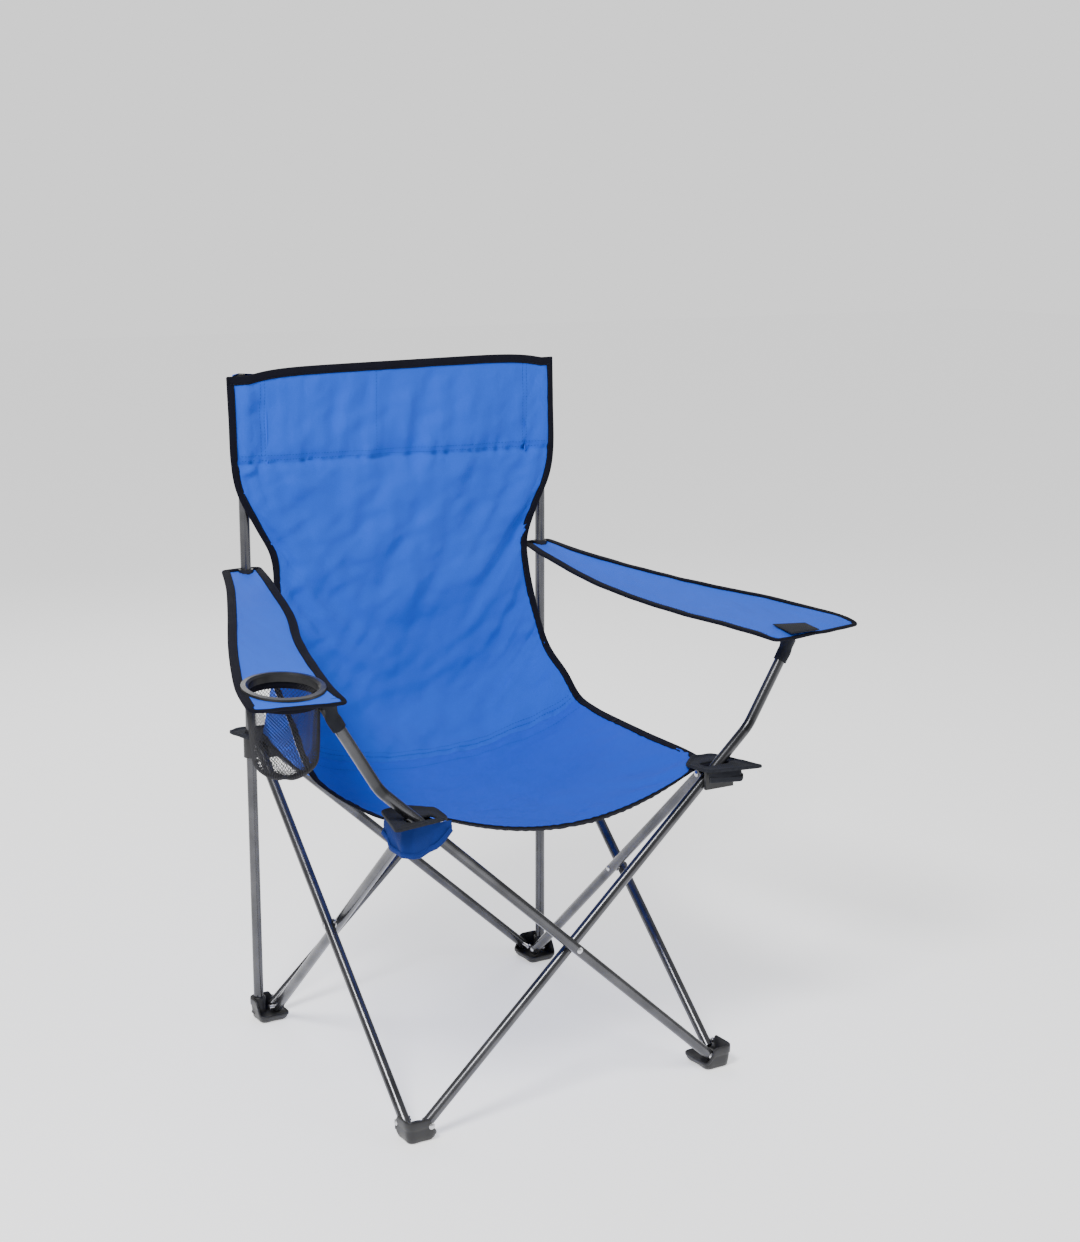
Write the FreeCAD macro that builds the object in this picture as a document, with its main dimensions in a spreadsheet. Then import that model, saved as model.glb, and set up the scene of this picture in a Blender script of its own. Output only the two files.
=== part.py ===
import FreeCAD, Part
import math
import os
import Sketcher

# Folding camp chair: four pairs of crossed steel tubes between four plastic feet and
# four upper joints, two rear posts that carry the back, arm tubes that run on from the
# front crossed pair, and one sling of cloth with two cloth armrests.
# Frame: +Z up, the front of the chair faces -Y, +X is the sitter's left.
# Origin: on the floor, under the middle of the chair.
# "u" is the distance outboard in X, "v" the distance outboard in Y at each corner.

doc = FreeCAD.newDocument("camp_chair")
sheet = doc.addObject("Spreadsheet::Sheet", "Dims")
sheet.Label = "Dims"

DIMS = [
    ("tube_radius", "7", "outer radius of every frame tube"),
    ("tube_wall", "1", "wall of the frame tubes"),
    ("pivot_half", "208", "half of the pivot to pivot distance along the floor, both ways"),
    ("foot_pivot_z", "20", "height of the foot pivots"),
    ("joint_pivot_z", "399", "height of the upper pivots with the chair open"),
    ("side_plane", "221", "mid plane between the two tubes of a side pair, from X = 0"),
    ("end_plane", "236", "mid plane between the two tubes of the front or rear pair"),
    ("half_gap", "8", "tube axis to mid plane of its pair"),
    ("overhang", "7", "tube beyond its end pivots"),
    ("post_x", "233", "rear post axis, X"),
    ("post_y", "229.5", "rear post axis, Y"),
    ("post_top", "905", "top of the rear posts"),
    ("post_bottom", "9", "bottom of the rear posts in their sockets"),
    ("pin_radius", "2.5", "rivet shank"),
    ("pin_play", "0.05", "radial play of a rivet in a tube"),
    ("head_radius", "4.2", "rivet head"),
    ("head_height", "1.6", "rivet head"),
    ("arm_rise", "89", "upper front pivot to the bend of the arm tube"),
    ("arm_bend", "16.2", "bend of the arm tube, degrees"),
    ("arm_bend_radius", "70", "bend radius of the arm tube axis"),
    ("arm_length", "127", "bend to the top of the arm tube"),
    ("base_height", "9", "solid sole of a foot"),
    ("foot_height", "31", "top of a foot's walls"),
    ("foot_in", "198", "inboard face of feet and joints"),
    ("foot_out", "241", "outboard face of feet and joints"),
    ("foot_far", "254", "outboard face in Y where the tube is the outer one"),
    ("joint_low", "386", "underside of the upper joints"),
    ("joint_high", "409.5", "top of the upper joints"),
    ("slider_bore", "7.4", "bore of the sliding rear joints"),
    ("slider_wall", "3.1", "wall round that bore"),
    ("plate_low", "413.2", "underside of the corner plates"),
    ("plate_thick", "3", "corner plates"),
    ("cloth", "2.4", "thickness that stands for doubled cloth"),
    ("seat_half", "211", "half width of the seat cloth"),
    ("seat_front", "218", "front edge of the seat cloth from Y = 0"),
    ("seat_seam", "96", "rear seam of the seat cloth"),
    ("seat_z", "410.4", "underside of the seat cloth at its edges"),
    ("seat_sag", "38", "how far the seat hangs in the middle"),
    ("back_y", "216", "front face of the back cloth"),
    ("back_top", "913", "top edge of the back"),
    ("sleeve_low", "786", "lower end of the sleeves"),
    ("waist_z", "640", "height of the narrow part of the back"),
    ("waist_half", "203", "half width there"),
    ("back_cut", "612", "where the back cloth starts to curve forward"),
    ("arm_rear_z", "640", "armrest height at the post"),
    ("arm_front_z", "580.5", "armrest height at its front edge"),
    ("arm_front_y", "262", "front edge of the armrest"),
    ("cup_x", "378", "cup ring centre, X"),
    ("cup_y", "213", "cup ring centre, Y"),
    ("cup_outer", "49.5", "cup ring outer radius"),
    ("cup_inner", "40", "cup ring inner radius"),
    ("cup_depth", "104", "depth of the mesh pouch"),
    ("cup_wall", "1.6", "wall that stands for the mesh"),
]
for row, (alias, value, note) in enumerate(DIMS, start=1):
    sheet.set("A%d" % row, alias)
    sheet.set("B%d" % row, value)
    sheet.set("C%d" % row, note)
    sheet.setAlias("B%d" % row, alias)
row = len(DIMS) + 1
cell = {alias: "B%d" % (k + 1) for k, (alias, _, _) in enumerate(DIMS)}
sheet.set("A%d" % row, "tube_reach")
sheet.set("B%d" % row, "=sqrt(4 * pow({0}; 2) + pow({1} - {2}; 2))".format(
    cell["pivot_half"], cell["joint_pivot_z"], cell["foot_pivot_z"]))
sheet.set("C%d" % row, "pivot to pivot length of a tube")
sheet.setAlias("B%d" % row, "tube_reach")
doc.recompute()


def dim(alias):
    return float(sheet.get(alias))


V = FreeCAD.Vector
P = dim("pivot_half")
ZF = dim("foot_pivot_z")
ZJ = dim("joint_pivot_z")
GAP = dim("half_gap")
SIDE = dim("side_plane")
END = dim("end_plane")
RAD = dim("tube_radius")
LEAN = math.degrees(math.atan2(2 * P, ZJ - ZF))
REACH = math.hypot(2 * P, ZJ - ZF)

nodes = {}


def keep(name, obj):
    """Registers a finished sub-part under the name of its file."""
    obj.Label = name
    nodes[name] = obj
    return obj


def bind(obj, prop, text):
    obj.setExpression(prop, text)


def d(text):
    """Turns bare alias words of an expression into sheet references."""
    out = []
    for word in text.replace("(", " ( ").replace(")", " ) ").split():
        out.append("Dims." + word if word[0].isalpha() else word)
    return " ".join(out)


def neg(text):
    return "0 - ( " + text + " )"


# ---------------------------------------------------------------- tubes

def origin_plane(body, role):
    for item in body.Origin.OriginFeatures:
        if item.Role == role:
            return item
    raise RuntimeError(role)


def new_sketch(body, name, role):
    sk = body.newObject("Sketcher::SketchObject", name)
    sk.AttachmentSupport = [(origin_plane(body, role), "")]
    sk.MapMode = "FlatFace"
    return sk


def circle(sk, x, y, radius_text, x_text=None, y_text=None):
    """A circle whose radius, and place when it is off centre, follow the sheet."""
    value = 1.0
    index = sk.addGeometry(Part.Circle(V(x, y, 0), V(0, 0, 1), value), False)
    rad = sk.addConstraint(Sketcher.Constraint("Radius", index, value))
    sk.setExpression("Constraints[%d]" % rad, d(radius_text))
    if x_text is None and y_text is None:
        sk.addConstraint(Sketcher.Constraint("Coincident", index, 3, -1, 1))
        return index
    for kind, value, text in (("DistanceX", x, x_text), ("DistanceY", y, y_text)):
        if text is None:
            target = Sketcher.Constraint("PointOnObject", index, 3, -2 if kind == "DistanceX" else -1)
            sk.addConstraint(target)
        else:
            con = sk.addConstraint(Sketcher.Constraint(kind, -1, 1, index, 3, value))
            sk.setExpression("Constraints[%d]" % con, d(text))
    return index


def straight_tube(name, place):
    """Tube along its own Z from the foot pivot, with rivet holes along its own Y."""
    body = doc.addObject("PartDesign::Body", name)
    sk = new_sketch(body, name + "_ring", "XY_Plane")
    circle(sk, 0, 0, "tube_radius")
    circle(sk, 0, 0, "tube_radius - tube_wall")
    bind(sk, "AttachmentOffset.Base.z", d(neg("overhang")))
    pad = body.newObject("PartDesign::Pad", name + "_pad")
    pad.Profile = sk
    bind(pad, "Length", d("tube_reach + 2 * overhang"))
    doc.recompute()
    drill(body, name)
    body.Placement = place
    return keep(name, body)


def drill(body, name):
    """Rivet holes at the foot pivot, the crossing and the upper pivot."""
    holes = new_sketch(body, name + "_holes", "XZ_Plane")
    for k, share in enumerate((0.0, 0.5, 1.0)):
        index = holes.addGeometry(Part.Circle(V(0, share * REACH, 0), V(0, 0, 1), 2.55), False)
        rad = holes.addConstraint(Sketcher.Constraint("Radius", index, 2.55))
        holes.setExpression("Constraints[%d]" % rad, d("pin_radius + pin_play"))
        holes.addConstraint(Sketcher.Constraint("PointOnObject", index, 3, -2))
        if share:
            con = holes.addConstraint(
                Sketcher.Constraint("DistanceY", -1, 1, index, 3, share * REACH))
            holes.setExpression("Constraints[%d]" % con, d("%g * tube_reach" % share))
        else:
            holes.addConstraint(Sketcher.Constraint("PointOnObject", index, 3, -1))
    pocket = body.newObject("PartDesign::Pocket", name + "_drill")
    pocket.Profile = holes
    pocket.Type = 1
    pocket.Midplane = True
    body.Tip = pocket
    doc.recompute()


def arm_tube(name, side, place):
    """A crossed tube that runs on past the joint and bends upright as the arm post."""
    body = doc.addObject("PartDesign::Body", name)
    path = new_sketch(body, name + "_path", "XZ_Plane")
    bend = math.radians(dim("arm_bend"))
    radius = dim("arm_bend_radius")
    tangent = radius * math.tan(bend / 2)
    corner = REACH + dim("arm_rise")
    start = V(0, -dim("overhang"), 0)
    first = V(0, corner - tangent, 0)
    centre = V(side * radius, corner - tangent, 0)
    way = V(side * math.sin(bend), math.cos(bend), 0)
    second = V(0, corner, 0) + way * tangent
    last = V(0, corner, 0) + way * dim("arm_length")
    path.addGeometry(Part.LineSegment(start, first), False)
    if side > 0:
        arc = Part.ArcOfCircle(Part.Circle(centre, V(0, 0, 1), radius), math.pi - bend, math.pi)
    else:
        arc = Part.ArcOfCircle(Part.Circle(centre, V(0, 0, 1), radius), 0, bend)
    path.addGeometry(arc, False)
    path.addGeometry(Part.LineSegment(second, last), False)
    ring = new_sketch(body, name + "_ring", "XY_Plane")
    circle(ring, 0, 0, "tube_radius")
    circle(ring, 0, 0, "tube_radius - tube_wall")
    bind(ring, "AttachmentOffset.Base.z", d(neg("overhang")))
    doc.recompute()
    pipe = body.newObject("PartDesign::AdditivePipe", name + "_sweep")
    pipe.Profile = ring
    pipe.Spine = path
    doc.recompute()
    drill(body, name)
    body.Placement = place
    return keep(name, body)


def turned(axis, degrees):
    return FreeCAD.Rotation(axis, degrees)


X_AXIS = V(1, 0, 0)
Y_AXIS = V(0, 1, 0)
Z_AXIS = V(0, 0, 1)
ALONG_Y = turned(Y_AXIS, LEAN)
AGAINST_Y = turned(Y_AXIS, -LEAN)
QUARTER = turned(Z_AXIS, -90)
TO_FRONT = turned(X_AXIS, LEAN).multiply(QUARTER)
TO_REAR = turned(X_AXIS, -LEAN).multiply(QUARTER)

straight_tube("tube_rear_b", FreeCAD.Placement(V(-P, END - GAP, ZF), ALONG_Y))
straight_tube("tube_rear_a", FreeCAD.Placement(V(P, END + GAP, ZF), AGAINST_Y))
straight_tube("tube_left_inner", FreeCAD.Placement(V(SIDE - GAP, P, ZF), TO_FRONT))
straight_tube("tube_left_outer", FreeCAD.Placement(V(SIDE + GAP, -P, ZF), TO_REAR))
straight_tube("tube_right_inner", FreeCAD.Placement(V(-SIDE + GAP, P, ZF), TO_FRONT))
straight_tube("tube_right_outer", FreeCAD.Placement(V(-SIDE - GAP, -P, ZF), TO_REAR))
arm_tube("arm_tube_right", 1, FreeCAD.Placement(V(P, -END - GAP, ZF), AGAINST_Y))
arm_tube("arm_tube_left", -1, FreeCAD.Placement(V(-P, -END + GAP, ZF), ALONG_Y))

# ---------------------------------------------------------------- blocks and holes


def block(name, sx, sy, box):
    """Box given as outboard u, outboard v and z limits, each a sheet expression."""
    u0, u1, v0, v1, z0, z1 = [str(t) for t in box]
    obj = doc.addObject("Part::Box", name)
    bind(obj, "Length", d("( " + u1 + " ) - ( " + u0 + " )"))
    bind(obj, "Width", d("( " + v1 + " ) - ( " + v0 + " )"))
    bind(obj, "Height", d("( " + z1 + " ) - ( " + z0 + " )"))
    bind(obj, "Placement.Base.x", d(u0 if sx > 0 else neg(u1)))
    bind(obj, "Placement.Base.y", d(v0 if sy > 0 else neg(v1)))
    bind(obj, "Placement.Base.z", d(z0))
    return obj


def rod(name, start, direction, radius_text, length_text):
    """Cylinder along a row axis from its start point."""
    obj = doc.addObject("Part::Cylinder", name)
    bind(obj, "Radius", d(radius_text))
    bind(obj, "Height", d(length_text))
    turn = FreeCAD.Rotation(Z_AXIS, direction)
    obj.Placement = FreeCAD.Placement(start, turn)
    return obj


def fuse(name, parts):
    obj = doc.addObject("Part::MultiFuse", name)
    obj.Shapes = parts
    obj.Refine = True
    return obj


def cut(name, base, tool):
    obj = doc.addObject("Part::Cut", name)
    obj.Base = base
    obj.Tool = tool
    obj.Refine = True
    return obj


def soften(name, base, radius, test):
    """Rounds the straight edges of a block that pass the test."""
    doc.recompute()
    picked = []
    for index, edge in enumerate(base.Shape.Edges, start=1):
        if test(edge):
            picked.append((index, radius, radius))
    obj = doc.addObject("Part::Fillet", name)
    obj.Base = base
    obj.Edges = picked
    return obj


def upright(edge):
    a, b = edge.Vertexes[0].Point, edge.Vertexes[-1].Point
    return abs(a.x - b.x) < 1e-6 and abs(a.y - b.y) < 1e-6


def low(edge):
    return all(abs(v.Point.z) < 1e-6 for v in edge.Vertexes)


# Each corner: name, signs, the Y plane of its front or rear tube and the X plane of its
# side tube at the foot, and the same at the upper joint.
INNER_END = END - GAP
OUTER_END = END + GAP
INNER_SIDE = SIDE - GAP
OUTER_SIDE = SIDE + GAP
CORNERS = {
    "front_right": (-1, -1, INNER_END, OUTER_SIDE, OUTER_END, INNER_SIDE),
    "front_left": (1, -1, OUTER_END, OUTER_SIDE, INNER_END, INNER_SIDE),
    "rear_right": (-1, 1, INNER_END, INNER_SIDE, OUTER_END, OUTER_SIDE),
    "rear_left": (1, 1, OUTER_END, INNER_SIDE, INNER_END, OUTER_SIDE),
}

# Supports of a foot or joint, as (u0, u1, v0, v1) expressions: what holds the rivet of
# the front or rear tube, then what holds the rivet of the side tube.
INNER = "foot_in"
OUTER = "foot_out"
FOOT_WALLS = {
    "front_right": [(INNER, OUTER, "236.4", OUTER), ("236.6", OUTER, INNER, OUTER),
                    ("219", OUTER, "219.6", OUTER)],
    "front_left": [(INNER, OUTER, "219.6", "236.4"), ("236.6", OUTER, INNER, "236.4")],
    "rear_right": [(INNER, "244.5", "236.4", OUTER), ("220.6", "226", INNER, "220"),
                   ("221.6", "244.5", "218.6", OUTER)],
    "rear_left": [(INNER, "223", "219.6", "236.4"), ("220.6", "226", INNER, "220"),
                  ("221.6", "244.5", "218.6", OUTER)],
}
FOOT_SOLES = {
    "front_right": (INNER, OUTER, INNER, OUTER),
    "front_left": (INNER, OUTER, INNER, "foot_far"),
    "rear_right": (INNER, "244.5", INNER, OUTER),
    "rear_left": (INNER, "244.5", INNER, "foot_far"),
}


def pin_hole(name, sx, sy, kind, plane, height, radius_text):
    """Rivet hole: kind "end" runs along Y at the pivot, "side" runs along X."""
    if kind == "end":
        centre = V(sx * P, sy * (plane - 30), height)
        way = V(0, sy, 0)
    else:
        centre = V(sx * (plane - 30), sy * P, height)
        way = V(sx, 0, 0)
    return rod(name, centre, way, radius_text, "60")


def post_hole(name, sx, low_text, high_text, radius_text):
    obj = doc.addObject("Part::Cylinder", name)
    bind(obj, "Radius", d(radius_text))
    bind(obj, "Height", d("( " + high_text + " ) - ( " + low_text + " )"))
    bind(obj, "Placement.Base.x", d("post_x" if sx > 0 else neg("post_x")))
    bind(obj, "Placement.Base.y", d("post_y"))
    bind(obj, "Placement.Base.z", d(low_text))
    return obj


def foot(corner):
    sx, sy, end_plane, side_plane, _, _ = CORNERS[corner]
    name = "foot_" + corner
    sole = block(name + "_sole", sx, sy, FOOT_SOLES[corner] + ("0", "base_height"))
    sole = soften(name + "_rim", sole, 3.0, lambda e: upright(e) or low(e))
    parts = [sole]
    for k, wall in enumerate(FOOT_WALLS[corner]):
        box = block("%s_wall%d" % (name, k), sx, sy, wall + ("4", "foot_height"))
        parts.append(soften("%s_soft%d" % (name, k), box, 1.2, upright))
    whole = fuse(name + "_block", parts)
    holes = [
        pin_hole(name + "_end", sx, sy, "end", end_plane, ZF, "pin_radius"),
        pin_hole(name + "_side", sx, sy, "side", side_plane, ZF, "pin_radius"),
    ]
    if sy > 0:
        holes.append(post_hole(name + "_socket", sx, "post_bottom", "foot_height + 1", "tube_radius"))
    tool = fuse(name + "_holes", holes)
    return keep(name, cut(name, whole, tool))


for corner in CORNERS:
    foot(corner)

JOINT_WALLS = {
    "front_right": [(INNER, OUTER, "219.6", "236.4"), ("220.6", OUTER, INNER, "236.4")],
    "front_left": [(INNER, "242.5", "236.4", "241.5"), ("237", "242.5", INNER, "241.5"),
                   ("220.6", "242.5", INNER, "219.4")],
    "rear_right": [("200", "226", "219.6", "236.4"), ("200", "221.4", INNER, "217.6"),
                   ("212.6", "221.4", "217", "236.4")],
    "rear_left": [(INNER, "228", "236.4", "242"), ("218.8", "226", "219.6", "242"),
                  ("200", "221.4", INNER, "219.4"), ("218.8", "221.4", "210", "222")],
}


def joint(corner):
    sx, sy, _, _, end_plane, side_plane = CORNERS[corner]
    name = ("slider_" if sy > 0 else "bracket_") + corner
    parts = []
    for k, wall in enumerate(JOINT_WALLS[corner]):
        box = block("%s_wall%d" % (name, k), sx, sy, wall + ("joint_low", "joint_high"))
        parts.append(soften("%s_soft%d" % (name, k), box, 1.2, upright))
    holes = [
        pin_hole(name + "_end", sx, sy, "end", end_plane, ZJ, "pin_radius"),
        pin_hole(name + "_side", sx, sy, "side", side_plane, ZJ, "pin_radius"),
    ]
    if sy > 0:
        parts.append(post_hole(name + "_ring", sx, "joint_low - 4", "joint_high",
                               "slider_bore + slider_wall"))
        holes.append(post_hole(name + "_bore", sx, "joint_low - 10", "joint_high + 5",
                               "slider_bore"))
    whole = fuse(name + "_block", parts)
    tool = fuse(name + "_holes", holes)
    return keep(name, cut(name, whole, tool))


for corner in CORNERS:
    joint(corner)

# ---------------------------------------------------------------- rivets


def rivet(name, start, way, length):
    """Shank with a domed head at each end; start is the outer face of the first head."""
    head_r = dim("head_radius")
    head_h = dim("head_height")
    shank_r = dim("pin_radius")
    turn = FreeCAD.Rotation(Z_AXIS, way)
    shank = Part.makeCylinder(shank_r, length - 2 * head_h, V(0, 0, head_h))
    ball_r = (head_r ** 2 + head_h ** 2) / (2 * head_h)
    first = Part.makeSphere(ball_r, V(0, 0, ball_r)).common(Part.makeCylinder(head_r, head_h))
    last = Part.makeSphere(ball_r, V(0, 0, length - ball_r)).common(
        Part.makeCylinder(head_r, head_h, V(0, 0, length - head_h)))
    shape = shank.fuse([first, last]).removeSplitter()
    shape.Placement = FreeCAD.Placement(start, turn)
    return shape


def group(name, shapes):
    obj = doc.addObject("Part::Feature", name)
    obj.Shape = Part.makeCompound(shapes)
    obj.Placement = FreeCAD.Placement(V(0, 0, 0), FreeCAD.Rotation())
    return keep(name, obj)


def spans(low_face, high_face, sign, kind, cross, height, head):
    """Rivet from outboard distance low_face to high_face, heads standing outside."""
    a = low_face - head
    b = high_face + head
    if kind == "end":
        return V(cross, sign * a, height), V(0, sign, 0), b - a
    return V(sign * a, cross, height), V(sign, 0, 0), b - a


HEAD = dim("head_height")
# Outboard limits of the material each rivet clamps: (end rivet), (side rivet).
FOOT_PINS = {
    "front_right": ((INNER_END - RAD, 241), (OUTER_SIDE - RAD, 241)),
    "front_left": ((219.6, OUTER_END + RAD), (OUTER_SIDE - RAD, 241)),
    "rear_right": ((INNER_END - RAD, 241), (INNER_SIDE - RAD, 226)),
    "rear_left": ((219.6, OUTER_END + RAD), (INNER_SIDE - RAD, 226)),
}
JOINT_PINS = {
    "front_right": ((219.6, OUTER_END + RAD), (INNER_SIDE - RAD, 241)),
    "front_left": ((INNER_END - RAD, 241.5), (INNER_SIDE - RAD, 242.5)),
    "rear_right": ((219.6, OUTER_END + RAD), (200, OUTER_SIDE + RAD)),
    "rear_left": ((INNER_END - RAD, 242), (200, OUTER_SIDE + RAD)),
}
for corner, (sx, sy, _, _, _, _) in CORNERS.items():
    for prefix, table, height in (("rivets_foot_", FOOT_PINS, ZF), ("rivets_joint_", JOINT_PINS, ZJ)):
        shapes = []
        for kind, (a, b) in zip(("end", "side"), table[corner]):
            sign = sy if kind == "end" else sx
            cross = sx * P if kind == "end" else sy * P
            # a head that meets a moving tube stands a little clear of it
            start, way, length = spans(a - 0.15, b + 0.15, sign, kind, cross, height, HEAD)
            shapes.append(rivet("r", start, way, length))
        group(prefix + corner, shapes)

MID_Z = (ZF + ZJ) / 2
CROSSINGS = {
    "rivet_cross_front": (V(0, -(END + GAP + RAD + HEAD + 0.15), MID_Z), V(0, 1, 0), V(0, -END, MID_Z)),
    "rivet_cross_rear": (V(0, END - GAP - RAD - HEAD - 0.15, MID_Z), V(0, 1, 0), V(0, END, MID_Z)),
    "rivet_cross_left": (V(SIDE - GAP - RAD - HEAD - 0.15, 0, MID_Z), V(1, 0, 0), V(SIDE, 0, MID_Z)),
    "rivet_cross_right": (V(-SIDE - GAP - RAD - HEAD - 0.15, 0, MID_Z), V(1, 0, 0), V(-SIDE, 0, MID_Z)),
}
for name, (start, way, middle) in CROSSINGS.items():
    length = 2 * (GAP + RAD + HEAD + 0.15)
    washer = Part.makeCylinder(6, 1.3, V(0, 0, -0.65)).cut(
        Part.makeCylinder(2.6, 3, V(0, 0, -1.5)))
    washer.Placement = FreeCAD.Placement(middle, FreeCAD.Rotation(Z_AXIS, way))
    group(name, [rivet("r", start, way, length), washer])

# ---------------------------------------------------------------- rear posts


def ring_body(name, sx, low_text, high_text, outer_text, inner_text):
    outer = post_hole(name + "_outer", sx, low_text, high_text, outer_text)
    inner = post_hole(name + "_inner", sx, low_text + " - 1", high_text + " + 1", inner_text)
    return keep(name, cut(name, outer, inner))


for side, sx in (("right", -1), ("left", 1)):
    ring_body("post_" + side, sx, "post_bottom", "post_top", "tube_radius", "tube_radius - tube_wall")
    plug = post_hole("post_cap_%s_plug" % side, sx, "post_top - 12", "post_top", "tube_radius - tube_wall")
    lid = post_hole("post_cap_%s_lid" % side, sx, "post_top", "post_top + 3", "tube_radius")
    keep("post_cap_" + side, fuse("post_cap_" + side, [plug, lid]))
    ring_body("arm_eyelet_" + side, sx, "arm_rear_z - 5", "arm_rear_z + 5", "tube_radius + 3",
              "tube_radius")

# Plastic caps on the tops of the arm tubes.
for side, sx, plane in (("right", -1, -OUTER_END), ("left", 1, -INNER_END)):
    name = "arm_cap_" + side
    upright_lean = LEAN - dim("arm_bend")
    lean_vector = V(sx * math.sin(math.radians(upright_lean)), 0, math.cos(math.radians(upright_lean)))
    first = V(sx * math.sin(math.radians(LEAN)), 0, math.cos(math.radians(LEAN)))
    top = V(sx * -P, plane, ZF) + first * (REACH + dim("arm_rise")) + lean_vector * dim("arm_length")
    sleeve = doc.addObject("Part::Cylinder", name + "_outer")
    bind(sleeve, "Radius", d("tube_radius + 0.8"))
    sleeve.Height = 26
    sleeve.Placement = FreeCAD.Placement(top - lean_vector * 24, FreeCAD.Rotation(Z_AXIS, lean_vector))
    bore = doc.addObject("Part::Cylinder", name + "_bore")
    bind(bore, "Radius", d("tube_radius"))
    bore.Height = 30
    bore.Placement = FreeCAD.Placement(top - lean_vector * 30, FreeCAD.Rotation(Z_AXIS, lean_vector))
    keep(name, cut(name, sleeve, bore))

# ---------------------------------------------------------------- corner plates

PLATE_FRONT = [(184, 214), (214, 184), (246, 190), (268, 272), (190, 258)]
PLATE_REAR = [(190, 218), (218, 190), (246, 192), (268, 272), (194, 252)]


def outline(points, z, thick):
    wire = Part.makePolygon([V(x, y, z) for x, y in points + points[:1]])
    return Part.Face(wire).extrude(V(0, 0, thick))


def plate(corner):
    sx, sy, _, _, end_plane, _ = CORNERS[corner]
    name = "corner_plate_" + corner
    points = PLATE_REAR if sy > 0 else PLATE_FRONT
    z = dim("plate_low")
    thick = dim("plate_thick")
    shape = outline([(sx * u, sy * v) for u, v in points], z, thick)
    sharp = [e for e in shape.Edges if upright(e)]
    shape = shape.makeFillet(5, sharp)
    if sy > 0:
        tool = Part.makeCylinder(7.9, 20, V(sx * dim("post_x"), dim("post_y"), z - 5))
    else:
        u0, u1 = 200.5, 240.5
        v0, v1 = end_plane - 8.6, end_plane + 8.6
        tool = Part.makeBox(u1 - u0, v1 - v0, 20, V(u0 if sx > 0 else -u1, -v1, z - 5))
        tool = tool.makeFillet(6, [e for e in tool.Edges if upright(e)])
    obj = doc.addObject("Part::Feature", name)
    obj.Shape = shape.cut(tool)
    obj.Placement = FreeCAD.Placement(V(0, 0, 0), FreeCAD.Rotation())
    return keep(name, obj)


for corner in CORNERS:
    plate(corner)

# ---------------------------------------------------------------- cloth

CLOTH = dim("cloth")


def feature(name, shape):
    obj = doc.addObject("Part::Feature", name)
    obj.Shape = shape
    obj.Placement = shape.Placement
    return keep(name, obj)


def hanging_band(name, half, sag, z_edge, y0, y1):
    """Sheet that hangs as an arc across X between its side edges."""
    low = [V(-half, y0, z_edge), V(0, y0, z_edge - sag), V(half, y0, z_edge)]
    lift = V(0, 0, CLOTH)
    bottom = Part.Arc(*low).toShape()
    top = Part.Arc(*[p + lift for p in low]).toShape()
    ends = [Part.makeLine(p, p + lift) for p in (low[0], low[2])]
    face = Part.Face(Part.Wire(Part.__sortEdges__([bottom, ends[1], top, ends[0]])))
    return feature(name, face.extrude(V(0, y1 - y0, 0)))


SEAT_HALF = dim("seat_half")
hanging_band("seat_front", SEAT_HALF, dim("seat_sag"), dim("seat_z"), -dim("seat_front"), -0.4)
hanging_band("seat_rear", SEAT_HALF, dim("seat_sag"), dim("seat_z"), 0.4, dim("seat_seam"))

# The sling curves up from the seat's rear seam to the back.
BACK_Y = dim("back_y")
low_start = V(0, dim("seat_seam") + 4.5, dim("seat_z") + 18)
low_mid = V(0, 178, 497)
low_end = V(0, BACK_Y, dim("back_cut") - 0.5)
front_arc = Part.Arc(low_start, low_mid, low_end)
rear_arc = Part.Arc(low_start + V(0, CLOTH * 0.9, -CLOTH * 0.5), low_mid + V(0, CLOTH * 0.95, -CLOTH * 0.4),
                    low_end + V(0, CLOTH, 0))
curve_wire = Part.Wire(Part.__sortEdges__([
    front_arc.toShape(), rear_arc.toShape(),
    Part.makeLine(low_start, low_start + V(0, CLOTH * 0.9, -CLOTH * 0.5)),
    Part.makeLine(low_end, low_end + V(0, CLOTH, 0))]))
curve = Part.Face(curve_wire).extrude(V(2 * dim("waist_half"), 0, 0))
curve.translate(V(-dim("waist_half"), 0, 0))
feature("back_lower", curve)

# Upper back: full width above, narrow at the waist.
WAIST = dim("waist_half")
SLEEVE_LOW = dim("sleeve_low")
TOP = dim("back_top")
back_outline = [
    (-WAIST, dim("back_cut") + 0.5), (-WAIST, dim("waist_z")), (-222, 700), (-243, 748), (-247, SLEEVE_LOW),
    (-247, TOP), (247, TOP), (247, SLEEVE_LOW), (243, 748), (222, 700), (WAIST, dim("waist_z")),
    (WAIST, dim("back_cut") + 0.5),
]
back_wire = Part.makePolygon([V(x, BACK_Y, z) for x, z in back_outline + back_outline[:1]])
feature("back_panel", Part.Face(back_wire).extrude(V(0, CLOTH, 0)))

# Sleeves round the posts, open below, flat at the outer edge.
for side, sx in (("right", -1), ("left", 1)):
    cx, cy = sx * dim("post_x"), dim("post_y")
    y0 = BACK_Y + CLOTH + 0.4
    y1 = cy + 9.4
    height = TOP - SLEEVE_LOW
    u0, u1 = 205, 249
    shell = Part.makeBox(u1 - u0, y1 - y0, height, V(u0 if sx > 0 else -u1, y0, SLEEVE_LOW))
    shell = shell.makeFillet(6, [e for e in shell.Edges if upright(e)])
    bore = Part.makeCylinder(7.9, dim("post_top") + 4 - SLEEVE_LOW, V(cx, cy, SLEEVE_LOW - 0.01))
    feature("sleeve_" + side, shell.cut(bore))

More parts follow.
